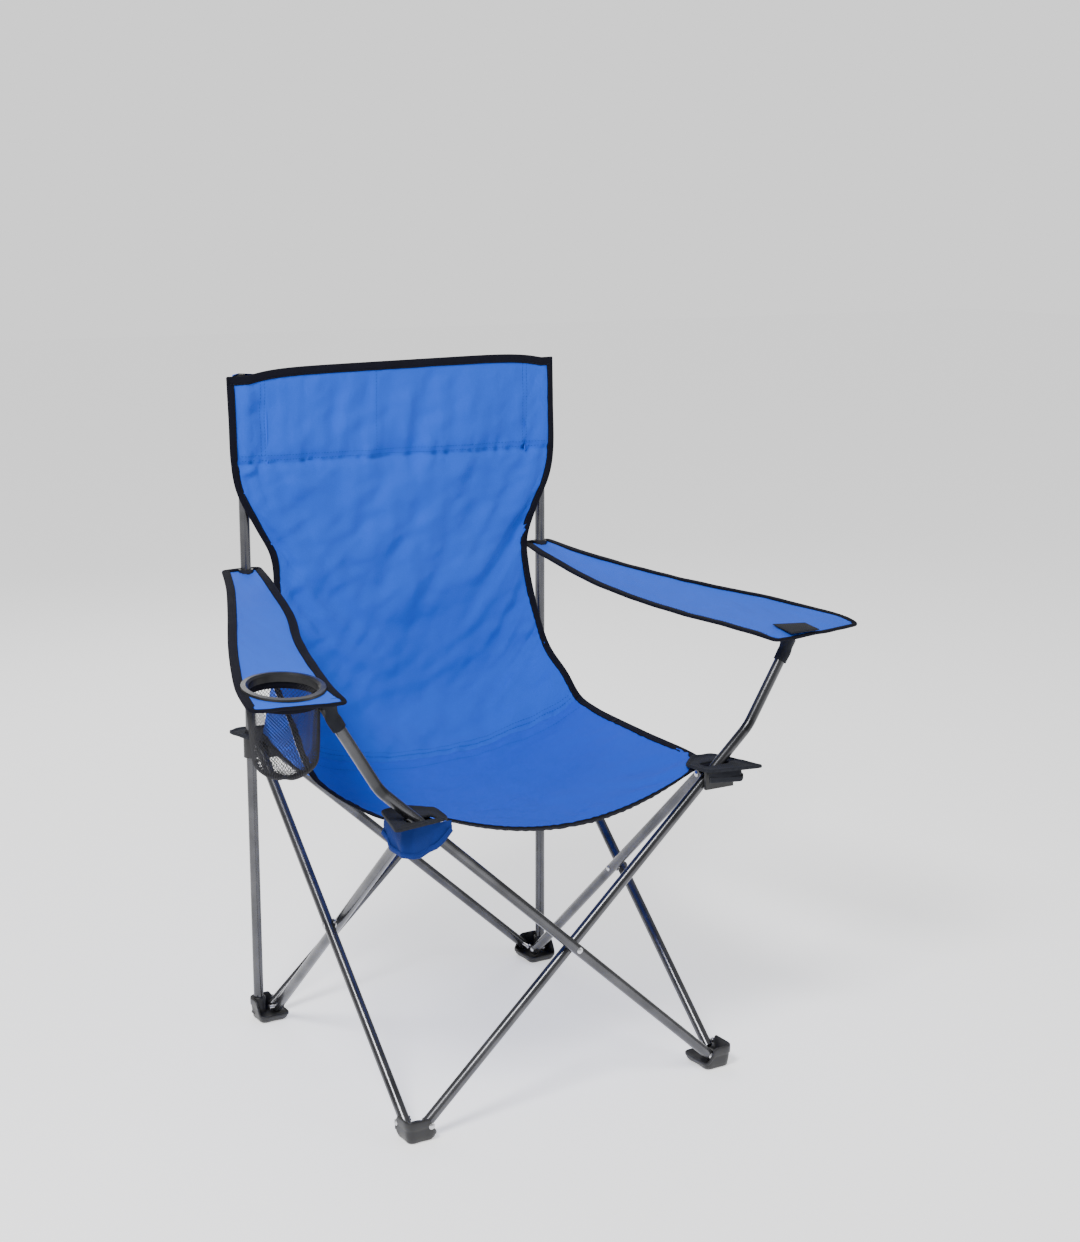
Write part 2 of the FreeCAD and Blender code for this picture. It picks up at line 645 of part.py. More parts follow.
# Cloth wings from the sling's side edge back to the rear joints.
for side, sx in (("right", -1), ("left", 1)):
    z = dim("seat_z")
    ring = [V(sx * 214, 104, z + 14), V(sx * 222, 104, z + 14), V(sx * 226, 187.5, z + 0.2),
            V(sx * 205, 187.5, z + 0.2)]
    low_face = Part.Face(Part.makePolygon([ring[0], ring[1], ring[2], ring[0]]))
    other = Part.Face(Part.makePolygon([ring[0], ring[2], ring[3], ring[0]]))
    wedge = low_face.extrude(V(0, 0, CLOTH)).fuse(other.extrude(V(0, 0, CLOTH)))
    feature("wing_" + side, wedge)

# Cloth flaps of the front corners, outside the joints.
flap = Part.makeBox(60, 1.8, 38, V(-246, -258, 374)).fuse(Part.makeBox(1.8, 56, 38, V(-246, -258, 374)))
feature("corner_flap_front_right", flap.removeSplitter())
flap_wire = Part.makePolygon([V(245, -258, 412), V(270, -258, 405), V(270, -258, 403), V(245, -258, 410),
                              V(245, -258, 412)])
feature("corner_flap_front_left", Part.Face(flap_wire).extrude(V(0, 54, 0)))

# ---------------------------------------------------------------- armrests

REAR_Z = dim("arm_rear_z")
FRONT_Z = dim("arm_front_z")
FRONT_Y = dim("arm_front_y")
SLOPE = (REAR_Z - FRONT_Z) / (dim("post_y") + FRONT_Y)
ARM_OUTLINE = [(212, 244), (256, 244), (292, 165), (330, 70), (380, -60), (424, -180), (442, -FRONT_Y),
               (328, -FRONT_Y), (300, -130), (262, 20), (228, 165)]


def arm_z(y):
    return REAR_Z - SLOPE * (dim("post_y") - y)


def armrest(side, sx):
    pts = [V(sx * x, y, arm_z(y)) for x, y in ARM_OUTLINE]
    face = Part.Face(Part.makePolygon(pts + pts[:1]))
    shape = face.extrude(V(0, 0, CLOTH))
    shape = shape.cut(Part.makeCylinder(10.3, 40, V(sx * dim("post_x"), dim("post_y"), REAR_Z - 20)))
    if sx < 0:
        hole_r = dim("cup_inner") + 4
        shape = shape.cut(Part.makeCylinder(hole_r, 80, V(-dim("cup_x"), -dim("cup_y"), FRONT_Z - 40)))
    return feature("armrest_" + side, shape)


armrest("right", -1)
armrest("left", 1)

# Cup ring: a plastic collar through the armrest, and the mesh pouch below it.
CUP = V(-dim("cup_x"), -dim("cup_y"), arm_z(-dim("cup_y")) + CLOTH)
tilt = FreeCAD.Rotation(X_AXIS, math.degrees(math.atan(SLOPE)))
profile = [V(40, 0, -7), V(42.5, 0, -7), V(42.5, 0, 0.3), V(dim("cup_outer"), 0, 0.3),
           V(dim("cup_outer") - 1, 0, 2.8), V(43, 0, 3.6), V(40, 0, 1.5)]
ring_face = Part.Face(Part.makePolygon(profile + profile[:1]))
ring_shape = ring_face.revolve(V(0, 0, 0), V(0, 0, 1), 360)
ring_shape.Placement = FreeCAD.Placement(CUP, tilt)
feature("cup_ring", ring_shape)

depth = dim("cup_depth")
wall = dim("cup_wall")
outer = Part.makeCone(30, 39, depth, V(0, 0, -depth))
inner = Part.makeCone(30 - wall, 39 - wall, depth - wall + 0.01, V(0, 0, -depth + wall))
pouch = outer.cut(inner)
pouch.Placement = FreeCAD.Placement(CUP + V(0, 0, -3.0), FreeCAD.Rotation())
pouch = pouch.cut(Part.makeBox(200, 200, 40, V(-500, -320, CUP.z - 14)))
feature("cup_pouch", pouch)

# ---------------------------------------------------------------- checks and files

doc.recompute()
for obj in doc.Objects:
    states = set(obj.State)
    if states & {"Invalid", "Error"}:
        raise RuntimeError("%s: %s" % (obj.Name, obj.State))
os.makedirs("parts", exist_ok=True)
for name, obj in nodes.items():
    shape = obj.Shape
    if shape.isNull() or not shape.isValid():
        raise RuntimeError(name + " is not a valid shape")
    if not shape.Solids:
        raise RuntimeError(name + " has no solid")
    shape.exportStep("parts/%s.step" % name)
print(len(nodes), "nodes, lean", round(LEAN, 4), "reach", round(REACH, 3))
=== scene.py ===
import math
import bpy
import numpy as np
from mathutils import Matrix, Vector, noise


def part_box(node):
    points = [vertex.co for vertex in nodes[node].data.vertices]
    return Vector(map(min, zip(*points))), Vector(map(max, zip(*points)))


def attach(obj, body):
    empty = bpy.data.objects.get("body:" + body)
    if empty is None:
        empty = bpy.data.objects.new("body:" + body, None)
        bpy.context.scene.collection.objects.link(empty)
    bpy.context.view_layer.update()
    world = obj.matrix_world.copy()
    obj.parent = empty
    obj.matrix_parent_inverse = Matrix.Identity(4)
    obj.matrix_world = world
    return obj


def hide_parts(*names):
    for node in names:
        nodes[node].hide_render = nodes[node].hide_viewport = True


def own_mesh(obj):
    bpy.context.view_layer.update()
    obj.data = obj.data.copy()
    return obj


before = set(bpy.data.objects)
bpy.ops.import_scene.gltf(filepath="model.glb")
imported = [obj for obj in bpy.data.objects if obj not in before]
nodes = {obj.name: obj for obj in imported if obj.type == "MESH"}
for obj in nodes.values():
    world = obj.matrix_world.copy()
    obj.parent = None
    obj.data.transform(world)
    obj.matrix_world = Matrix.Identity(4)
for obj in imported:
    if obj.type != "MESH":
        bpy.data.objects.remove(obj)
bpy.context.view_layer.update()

# ------------------------------------------------------------------ materials


def material(name, color, rough, metallic=0.0, **fixed):
    mat = bpy.data.materials.new(name)
    mat.use_nodes = True
    mat.diffuse_color = (*color, 1)
    tree = mat.node_tree
    bsdf = tree.nodes["Principled BSDF"]
    bsdf.inputs["Base Color"].default_value = (*color, 1)
    bsdf.inputs["Roughness"].default_value = rough
    bsdf.inputs["Metallic"].default_value = metallic
    for key, value in fixed.items():
        bsdf.inputs[key.replace("_", " ")].default_value = value
    return mat, tree, bsdf


def node(tree, kind, **props):
    n = tree.nodes.new(kind)
    for key, value in props.items():
        setattr(n, key, value)
    return n


def math_node(tree, op, a, b=None):
    n = node(tree, "ShaderNodeMath", operation=op)
    for slot, value in enumerate((a, b)):
        if value is None:
            continue
        if isinstance(value, (int, float)):
            n.inputs[slot].default_value = value
        else:
            tree.links.new(value, n.inputs[slot])
    return n.outputs[0]


def tone(tree, bsdf, factor, dark, light):
    """Base colour between two tones by a 0 to 1 factor."""
    mix = node(tree, "ShaderNodeMix", data_type="RGBA")
    tree.links.new(factor, mix.inputs["Factor"])
    mix.inputs["A"].default_value = (*dark, 1)
    mix.inputs["B"].default_value = (*light, 1)
    tree.links.new(mix.outputs["Result"], bsdf.inputs["Base Color"])
    return mix


def spread(tree, bsdf, factor, low, high):
    ranged = node(tree, "ShaderNodeMapRange")
    tree.links.new(factor, ranged.inputs["Value"])
    ranged.inputs["To Min"].default_value = low
    ranged.inputs["To Max"].default_value = high
    tree.links.new(ranged.outputs["Result"], bsdf.inputs["Roughness"])


def bumps(tree, bsdf, height, distance, strength=1.0, after=None):
    b = node(tree, "ShaderNodeBump")
    b.inputs["Strength"].default_value = strength
    b.inputs["Distance"].default_value = distance
    tree.links.new(height, b.inputs["Height"])
    if after is not None:
        tree.links.new(after, b.inputs["Normal"])
    tree.links.new(b.outputs["Normal"], bsdf.inputs["Normal"])
    return b.outputs["Normal"]


def grain(tree, source, scale, detail=3.0):
    n = node(tree, "ShaderNodeTexNoise")
    n.inputs["Scale"].default_value = scale
    n.inputs["Detail"].default_value = detail
    tree.links.new(source, n.inputs["Vector"])
    return n.outputs["Fac"]


def woven(name, dark, light, pitch=0.0011, rough=0.82, sheen=0.04, depth=0.00022):
    """Plain weave: warp and weft threads that pass over each other in turn, in UV metres."""
    mat, tree, bsdf = material(name, light, rough, Sheen_Weight=sheen, Sheen_Roughness=0.45,
                               Specular_IOR_Level=0.16)
    uv = node(tree, "ShaderNodeTexCoord").outputs["UV"]
    split = node(tree, "ShaderNodeSeparateXYZ")
    tree.links.new(uv, split.inputs[0])
    k = math.pi / pitch
    u = math_node(tree, "MULTIPLY", split.outputs[0], k)
    v = math_node(tree, "MULTIPLY", split.outputs[1], k)
    su, sv = math_node(tree, "SINE", u), math_node(tree, "SINE", v)
    warp = math_node(tree, "ABSOLUTE", su)
    weft = math_node(tree, "ABSOLUTE", sv)
    over = math_node(tree, "GREATER_THAN", math_node(tree, "MULTIPLY", su, sv), 0.0)
    a = math_node(tree, "MULTIPLY", warp, over)
    b = math_node(tree, "MULTIPLY", weft, math_node(tree, "SUBTRACT", 1.0, over))
    thread = math_node(tree, "ADD", a, b)
    cloud = grain(tree, uv, 9.0, 4.0)
    fine = grain(tree, uv, 420.0, 2.0)
    fac = math_node(tree, "ADD", math_node(tree, "MULTIPLY", thread, 0.45),
                    math_node(tree, "MULTIPLY", math_node(tree, "ADD", cloud, fine), 0.3))
    tone(tree, bsdf, fac, dark, light)
    spread(tree, bsdf, cloud, rough - 0.08, rough + 0.08)
    first = bumps(tree, bsdf, thread, depth, 0.7)
    bumps(tree, bsdf, grain(tree, uv, 55.0, 5.0), 0.0020, 0.45, first)
    return mat


def ribbed(name, dark, light, pitch=0.0014):
    """Grosgrain tape: ribs across its length, UV u runs along the tape."""
    mat, tree, bsdf = material(name, light, 0.86, Sheen_Weight=0.02, Sheen_Roughness=0.5,
                               Specular_IOR_Level=0.14)
    uv = node(tree, "ShaderNodeTexCoord").outputs["UV"]
    split = node(tree, "ShaderNodeSeparateXYZ")
    tree.links.new(uv, split.inputs[0])
    rib = math_node(tree, "ABSOLUTE", math_node(tree, "SINE", math_node(
        tree, "MULTIPLY", split.outputs[0], math.pi / pitch)))
    tone(tree, bsdf, math_node(tree, "MULTIPLY", rib, grain(tree, uv, 60.0)), dark, light)
    bumps(tree, bsdf, rib, 0.00025, 0.8)
    return mat


def plastic(name, dark, light, rough=0.5):
    mat, tree, bsdf = material(name, light, rough, Specular_IOR_Level=0.45)
    at = node(tree, "ShaderNodeTexCoord").outputs["Object"]
    cloud = grain(tree, at, 38.0, 5.0)
    tone(tree, bsdf, cloud, dark, light)
    spread(tree, bsdf, cloud, rough - 0.12, rough + 0.14)
    bumps(tree, bsdf, grain(tree, at, 900.0, 2.0), 0.00012, 0.5)
    return mat


def metal(name, dark, light, rough, coat=0.0, worn=None, full=0.75):
    mat, tree, bsdf = material(name, light, rough, full, Coat_Weight=coat, Coat_Roughness=0.1)
    at = node(tree, "ShaderNodeTexCoord").outputs["Object"]
    cloud = grain(tree, at, 24.0, 6.0)
    mix = tone(tree, bsdf, cloud, dark, light)
    spread(tree, bsdf, cloud, rough - 0.07, rough + 0.1)
    if worn is not None:
        geo = node(tree, "ShaderNodeNewGeometry").outputs["Pointiness"]
        edge = node(tree, "ShaderNodeMapRange")
        tree.links.new(geo, edge.inputs["Value"])
        edge.inputs["From Min"].default_value = 0.53
        edge.inputs["From Max"].default_value = 0.6
        extra = node(tree, "ShaderNodeMix", data_type="RGBA")
        tree.links.new(math_node(tree, "MULTIPLY", edge.outputs["Result"], cloud), extra.inputs["Factor"])
        tree.links.new(mix.outputs["Result"], extra.inputs["A"])
        extra.inputs["B"].default_value = (*worn, 1)
        tree.links.new(extra.outputs["Result"], bsdf.inputs["Base Color"])
    bumps(tree, bsdf, grain(tree, at, 700.0, 3.0), 0.00006, 0.35)
    return mat


BLUE = woven("cloth_blue", (0.009, 0.062, 0.46), (0.026, 0.122, 0.76))
# seat cloth: the blue cloth made deeper and darker as painted shade, for the seat being lit less than the back
SEAT_PAINTED_SHADE = woven("cloth_seat_painted_shade", (0.008, 0.050, 0.44), (0.022, 0.100, 0.72))
ARM_BLUE = woven("cloth_arm", (0.012, 0.075, 0.52), (0.030, 0.140, 0.82))
# flap cloth: the blue cloth darkened to about a quarter, painted shade for the flap hanging below the front corner
FLAP_PAINTED_SHADE = woven("cloth_flap_painted_shade", (0.003, 0.014, 0.11), (0.007, 0.030, 0.20))
TAPE = ribbed("tape_black", (0.002, 0.002, 0.006), (0.006, 0.007, 0.016))
PATCH = woven("patch_black", (0.006, 0.007, 0.010), (0.022, 0.024, 0.032), 0.0016, 0.85)
THREAD = ribbed("stitch_blue", (0.008, 0.03, 0.16), (0.02, 0.07, 0.34), 0.0006)
THREAD_DARK = ribbed("stitch_dark", (0.01, 0.012, 0.02), (0.05, 0.055, 0.08), 0.0006)
NET = plastic("net_black", (0.008, 0.008, 0.010), (0.022, 0.022, 0.028), 0.6)
BLACK = plastic("plastic_black", (0.006, 0.006, 0.007), (0.020, 0.020, 0.022), 0.42)
RING = plastic("plastic_ring", (0.005, 0.005, 0.006), (0.016, 0.016, 0.019), 0.36)
STEEL = metal("tube_paint", (0.010, 0.011, 0.013), (0.026, 0.027, 0.031), 0.24, 0.25, (0.14, 0.14, 0.15))
ZINC = metal("rivet_zinc", (0.42, 0.42, 0.44), (0.68, 0.68, 0.70), 0.3, full=1.0)

for name, obj in nodes.items():
    if name.startswith("rivet"):
        mat = ZINC
    elif name.startswith(("tube_", "arm_tube", "post_right", "post_left")):
        mat = STEEL
    elif name == "cup_ring":
        mat = RING
    else:
        mat = BLACK
    obj.data.materials.clear()
    obj.data.materials.append(mat)
    if name.startswith(("foot_", "bracket_", "slider_", "cup_ring")):
        bevel = obj.modifiers.new("edge", "BEVEL")
        bevel.width = 0.0007
        bevel.segments = 2
        bevel.limit_method = "ANGLE"
        bevel.angle_limit = math.radians(35)
        bevel.harden_normals = True

# ------------------------------------------------------------------ mesh helpers


def shaded(me):
    me.polygons.foreach_set("use_smooth", [True] * len(me.polygons))
    me.update()


def add_mesh(name, verts, faces, mat, uvs=None, smooth=True):
    me = bpy.data.meshes.new(name)
    me.from_pydata([tuple(map(float, v)) for v in verts], [], faces)
    if uvs is not None:
        layer = me.uv_layers.new(name="UVMap")
        index = np.zeros(len(me.loops), np.int32)
        me.loops.foreach_get("vertex_index", index)
        layer.data.foreach_set("uv", np.asarray(uvs, np.float32)[index].ravel())
    me.materials.append(mat)
    if smooth:
        shaded(me)
    obj = bpy.data.objects.new(name, me)
    bpy.context.collection.objects.link(obj)
    return obj


def unit(v):
    n = np.linalg.norm(v, axis=-1, keepdims=True)
    return v / np.maximum(n, 1e-12)


def catmull(keys, per):
    """Smooth rows through the key rows, `per` steps in each gap."""
    keys = np.asarray(keys, float)
    padded = np.vstack([2 * keys[0] - keys[1], keys, 2 * keys[-1] - keys[-2]])
    out = []
    for k in range(len(keys) - 1):
        p0, p1, p2, p3 = padded[k:k + 4]
        for t in np.arange(per) / per:
            out.append(0.5 * (2 * p1 + (p2 - p0) * t + (2 * p0 - 5 * p1 + 4 * p2 - p3) * t * t
                              + (3 * p1 - p0 - 3 * p2 + p3) * t ** 3))
    out.append(keys[-1])
    return np.array(out)


def evenly(points, step, closed=False):
    pts = np.asarray(points, float)
    if closed:
        pts = np.vstack([pts, pts[:1]])
    along = np.concatenate([[0], np.cumsum(np.linalg.norm(np.diff(pts, axis=0), axis=1))])
    count = max(4, int(round(along[-1] / step)))
    at = np.linspace(0, along[-1], count + 1)
    if closed:
        at = at[:-1]
    return np.stack([np.interp(at, along, pts[:, k]) for k in range(3)], 1)


def tape(name, path, normal, inward, width=0.009, thick=0.0026, closed=False, mat=None, out=0.0012):
    """Binding folded over an edge: a rounded flat section swept along the edge."""
    path, normal, inward = (np.asarray(a, float) for a in (path, normal, inward))
    if closed:
        tangent = unit(np.roll(path, -1, 0) - np.roll(path, 1, 0))
    else:
        tangent = unit(np.gradient(path, axis=0))
    inward = unit(inward - (inward * tangent).sum(1, keepdims=True) * tangent)
    normal = unit(np.cross(tangent, inward) * np.sign(
        (np.cross(tangent, inward) * normal).sum(1, keepdims=True) + 1e-9))
    half = thick / 2
    section = [(-out, 0), (-out + 0.0007, half * 0.8), (0.0012, half), (width * 0.5, half),
               (width - 0.0006, half * 0.85), (width, 0), (width - 0.0006, -half * 0.85),
               (width * 0.5, -half), (0.0012, -half), (-out + 0.0007, -half * 0.8)]
    m = len(section)
    verts, uvs, faces = [], [], []
    step = np.linalg.norm(np.diff(path, axis=0), axis=1)
    along = np.concatenate([[0], np.cumsum(step)])
    for i, p in enumerate(path):
        for j, (a, b) in enumerate(section):
            verts.append(p + inward[i] * a + normal[i] * b)
            uvs.append((along[i], j * width / m))
    count = len(path)
    for i in range(count if closed else count - 1):
        n = (i + 1) % count
        for j in range(m):
            k = (j + 1) % m
            faces.append((i * m + j, n * m + j, n * m + k, i * m + k))
    if not closed:
        faces.append(tuple(range(m - 1, -1, -1)))
        faces.append(tuple((count - 1) * m + j for j in range(m)))
    return add_mesh(name, verts, faces, mat or TAPE, uvs)


def stitches(name, path, normal, mat, lift=0.0003, pitch=0.0046, length=0.0032, wide=0.0005):
    """A run of thread: one small lens of thread for each stitch."""
    pts = evenly(path, pitch)
    nrm = np.stack([np.interp(np.linspace(0, 1, len(pts)), np.linspace(0, 1, len(normal)),
                              np.asarray(normal, float)[:, k]) for k in range(3)], 1)
    nrm = unit(nrm)
    tangent = unit(np.gradient(pts, axis=0))
    side = unit(np.cross(nrm, tangent))
    verts, faces, uvs = [], [], []
    for i in range(1, len(pts) - 1):
        base = len(verts)
        for a, w, h in ((-0.5, 0.0, 0.0), (-0.2, 1.0, 0.7), (0.2, 1.0, 0.7), (0.5, 0.0, 0.0)):
            p = pts[i] + tangent[i] * length * a
            if w == 0:
                verts.append(p + nrm[i] * lift * 0.3)
                uvs.append((i * pitch + a * length, 0))
            else:
                for q, z in ((-1, 0.1), (0, 1.0), (1, 0.1)):
                    verts.append(p + side[i] * wide * 0.5 * q + nrm[i] * (lift + wide * 0.5 * z))
                    uvs.append((i * pitch + a * length, q * wide))
        for q in (0, 1):
            faces.append((base, base + 2 + q, base + 1 + q))
            faces.append((base + 1 + q, base + 2 + q, base + 5 + q, base + 4 + q))
            faces.append((base + 4 + q, base + 5 + q, base + 7))
    return add_mesh(name, verts, faces, mat, uvs)


# ------------------------------------------------------------------ the sling

JOINT_TOP = max(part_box(n)[1].z for n in ("bracket_front_right", "slider_rear_left"))
HEAD_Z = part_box("back_panel")[1].z
SLEEVE_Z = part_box("sleeve_right")[0].z
BACK_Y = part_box("back_panel")[0].y
SPLIT_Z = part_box("back_panel")[0].z
POST_X = (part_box("post_left")[0].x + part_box("post_left")[1].x) / 2
POST_Y = (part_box("post_left")[0].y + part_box("post_left")[1].y) / 2
EZ = JOINT_TOP + 0.0022

# key rows: xL, xR, edge y, zL, zR, centre y, centre z, flatness of the dip
ROWS = [
    (-.218, .222, -.224, EZ, EZ + .001, -.228, .3715, 1.0),
    (-.221, .223, -.205, EZ, EZ + .002, -.207, .3700, 1.0),
    (-.223, .223, -.158, .3930, .4180, -.156, .3675, .4),
    (-.224, .222, -.075, .3870, .4210, -.075, .3660, .1),
    (-.224, .222, .000, .3880, .4250, .000, .3680, .0),
    (-.224, .222, .055, .3960, .4290, .055, .3740, .0),
    (-.220, .222, .100, .4190, .4380, .102, .3870, .0),
    (-.219, .221, .135, .4560, .4660, .142, .4080, .0),
    (-.217, .222, .178, .4850, .4900, .184, .4450, .0),
    (-.212, .225, .205, .5080, .5120, .208, .4900, .0),
    (-.205, .216, .2135, .5550, .5560, .222, .5500, .0),
    (-.198, .205, .2160, SPLIT_Z, SPLIT_Z, .228, SPLIT_Z, .0),
    (-.201, .203, .2165, .6600, .6550, .229, .6575, .0),
    (-.222, .219, .2165, .7020, .6980, .228, .7000, .0),
    (-.246, .240, .2165, .7480, .7420, .226, .7450, .2),
    (-.2545, .2470, .2160, .7900, .7840, .2235, .7870, .6),
    (-.2560, .2462, .2160, .8500, .8460, .2210, .8480, .8),
    (-.2575, .2450, .2160, HEAD_Z - .008, HEAD_Z + .000, .2190, HEAD_Z + .004, 1.0),
]
PER = 9
COLS = 78
rows = catmull(ROWS, PER)
split_rows = {"seat_mid": 4 * PER, "seam": 6 * PER, "waist": 11 * PER, "top": 17 * PER}
u = np.linspace(-1, 1, COLS + 1)
across = np.sign(u) * np.abs(u) ** 0.92
grid = np.zeros((len(rows), COLS + 1, 3))
for i, (xl, xr, ye, zl, zr, yc, zc, flat) in enumerate(rows):
    mid, half = (xl + xr) / 2, (xr - xl) / 2
    x = mid + half * across
    w = (across + 1) / 2
    # near the corners the cloth lies flat on the rigid patches before it dips
    reach = np.clip(np.abs(x) / (half * (1 - 0.10 * min(flat, 1.0))), 0, 1)
    dip = (1 - reach ** 2) ** (1.0 + 0.12 * flat)
    level = min(1.0, max(0.0, (zc - SLEEVE_Z) / .08))       # the head is straight between its corners
    dip = dip * (1 - level) + (1 - reach ** 7) * level
    edge_z = zl * (1 - w) + zr * w
    grid[i, :, 0] = x
    grid[i, :, 1] = ye + (yc - ye) * dip
    grid[i, :, 2] = edge_z + (zc - (zl + zr) / 2) * dip


def grid_normals(g):
    du = np.gradient(g, axis=1)
    dv = np.gradient(g, axis=0)
    return unit(np.cross(du, dv))


def fold(points, angle, scale, seed, sharp=1.0, stretch=6.0):
    """Long creases that run at `angle` (degrees from across), from -1 to 1."""
    c, s = math.cos(math.radians(angle)), math.sin(math.radians(angle))
    out = np.zeros(len(points))
    for k, (a, b) in enumerate(points):
        p = Vector(((a * c + b * s) / (scale * stretch), (-a * s + b * c) / scale, seed))
        out[k] = noise.noise(p + 0.35 * Vector((noise.noise(p * 0.7), noise.noise(p.yzx), 0)))
    return np.sign(out) * np.abs(out) ** sharp


def patch_mask(a, b, at, size):
    return np.exp(-((a - at[0]) / size[0]) ** 2 - ((b - at[1]) / size[1]) ** 2)


# Short cloth simulation: the sheet settles between its seams, sleeves and corners.
def settle(g, frames):
    nr, nc, _ = g.shape
    faces = [(i * nc + j, i * nc + j + 1, (i + 1) * nc + j + 1, (i + 1) * nc + j)
             for i in range(nr - 1) for j in range(nc - 1)]
    obj = add_mesh("sling_sim", g.reshape(-1, 3), faces, BLUE)
    hold = np.zeros((nr, nc))
    hold[:, [0, -1]] = 1.0
    hold[:, [1, -2]] = 0.6
    hold[-1, :] = 1.0
    hold[0, :] = 0.35
    post = np.abs(g[:, :, 0]) > 0.225
    hold[(g[:, :, 2] > SLEEVE_Z) & post] = 1.0
    hold[(g[:, :, 1] < -.19) & (np.abs(g[:, :, 0]) > .195)] = 1.0
    group = obj.vertex_groups.new(name="pin")
    for k, value in enumerate(hold.ravel()):
        if value > 0:
            group.add([k], float(value), "REPLACE")
    mod = obj.modifiers.new("cloth", "CLOTH")
    cs = mod.settings
    cs.quality = 6
    cs.mass = 0.12
    cs.tension_stiffness = 60
    cs.compression_stiffness = 25
    cs.shear_stiffness = 18
    cs.bending_stiffness = 0.12
    cs.air_damping = 3.0
    cs.vertex_group_mass = "pin"
    cs.shrink_min = -0.006
    cs.shrink_max = -0.006
    mod.collision_settings.use_self_collision = False
    mod.point_cache.frame_start = 1
    mod.point_cache.frame_end = frames
    scene = bpy.context.scene
    for f in range(1, frames + 1):
        scene.frame_set(f)
    done = obj.evaluated_get(bpy.context.evaluated_depsgraph_get()).to_mesh()
    co = np.zeros(len(done.vertices) * 3, np.float32)
    done.vertices.foreach_get("co", co)
    scene.frame_set(1)
    bpy.data.objects.remove(obj, do_unlink=True)
    return co.reshape(nr, nc, 3).astype(float)


as_cut = grid.copy()        # the cloth before it is hung
settled = settle(grid, 26)
move = settled - grid
size = np.linalg.norm(move, axis=2, keepdims=True)
move *= np.minimum(1.0, 0.012 / np.maximum(size, 1e-9))
grid = grid + move

SPAN = np.cumsum(np.concatenate([[0], np.linalg.norm(np.diff(grid[:, COLS // 2], axis=0), axis=1)]))
flat_u = grid[:, :, 0]
flat_v = np.repeat(SPAN[:, None], COLS + 1, 1)
pairs = np.stack([flat_u.ravel(), flat_v.ravel()], 1)
n0 = grid_normals(grid)
V_SEAM, V_WAIST, V_TOP = (SPAN[split_rows[k]] for k in ("seam", "waist", "top"))
V_BAND = SPAN[15 * PER]
a, b = pairs[:, 0], pairs[:, 1]
edge_fade = np.clip((1 - np.abs(np.repeat(u[None], len(rows), 0).ravel())) / 0.12, 0, 1)
wrinkle = 0.0022 * fold(pairs, 20, 0.045, 3.1)
wrinkle += 0.0075 * fold(pairs, 58, 0.050, 1.3, 1.2, 4.0) * patch_mask(a, b, (.05, V_WAIST + .05), (.16, .16))
wrinkle += 0.0045 * fold(pairs, -30, 0.045, 8.3, 1.2, 3.5) * patch_mask(a, b, (-.13, V_BAND - .06), (.09, .07))
wrinkle += 0.0050 * fold(pairs, 40, 0.034, 4.9, 1.2, 4.0) * patch_mask(a, b, (.13, V_SEAM + .05), (.10, .07))
wrinkle += 0.0040 * fold(pairs, 62, 0.030, 9.7, 1.2) * patch_mask(a, b, (.13, V_WAIST + .03), (.10, .16))
wrinkle += 0.0040 * fold(pairs, -62, 0.030, 5.2, 1.2) * patch_mask(a, b, (-.13, V_WAIST + .02), (.10, .16))
wrinkle += 0.0042 * fold(pairs, 84, 0.020, 2.4, 1.1) * patch_mask(a, b, (0, V_BAND + .055), (.20, .07))
wrinkle += 0.0036 * fold(pairs, 12, 0.030, 7.7, 1.1) * patch_mask(a, b, (.02, V_SEAM + .06), (.2, .07))
wrinkle += 0.0013 * fold(pairs, 95, 0.045, 4.4) * patch_mask(a, b, (0, .16), (.2, .14))
for side in (-1, 1):
    wrinkle += 0.0032 * fold(pairs, side * -38, 0.024, 6.6 + side, 1.1) * patch_mask(
        a, b, (side * .17, .055), (.075, .06))
wrinkle += 0.0011 * fold(pairs, 25, 0.016, 11.2, 1.0, 1.7)
pucker = np.abs(np.sin(a * 2 * math.pi / 0.019 + 3.0 * np.sin(a * 31))) * 0.0022
pucker *= 0.6 + 0.6 * np.abs(np.sin(a * 23 + 1.0))
wrinkle -= pucker * np.exp(-((b - V_BAND - .004) / .014) ** 2)
wrinkle -= (0.0015 + pucker * 0.6) * np.exp(-((b - V_SEAM) / .004) ** 2)
wrinkle -= 0.0022 * np.exp(-((b - V_BAND) / .0035) ** 2)
CENTRE_X = -.040
wrinkle -= 0.0010 * np.exp(-((a - CENTRE_X) / .003) ** 2) * (b > V_BAND - .002)
SEAM_X = {-1: -.207, 1: .200}
for side in (-1, 1):
    wrinkle -= 0.0011 * np.exp(-((a - SEAM_X[side]) / .003) ** 2) * np.clip((b - V_BAND) / .012, 0, 1)
    wrinkle += 0.0022 * np.exp(-((np.abs(a - side * POST_X)) / .009) ** 2) * (b > V_BAND + .004)
# the cloth sags in a U under the right sleeve, where the post leaves it
ring = np.hypot(a + POST_X + .003, b - V_BAND - .006)
wrinkle += 0.0032 * np.exp(-((ring - .017) / .0045) ** 2) * np.clip((V_BAND + .008 - b) / .008, 0, 1)
near_joint = (np.abs(a) > .19) & (b < .045)
wrinkle = np.where(near_joint, np.abs(wrinkle), wrinkle)
front_fade = np.clip((b - .004) / .03, 0, 1) * np.clip((SPAN[-1] - b - .006) / .02, 0, 1)
grid = grid + n0 * (2.2 * wrinkle * edge_fade * front_fade).reshape(len(rows), COLS + 1, 1)
normals = grid_normals(grid)

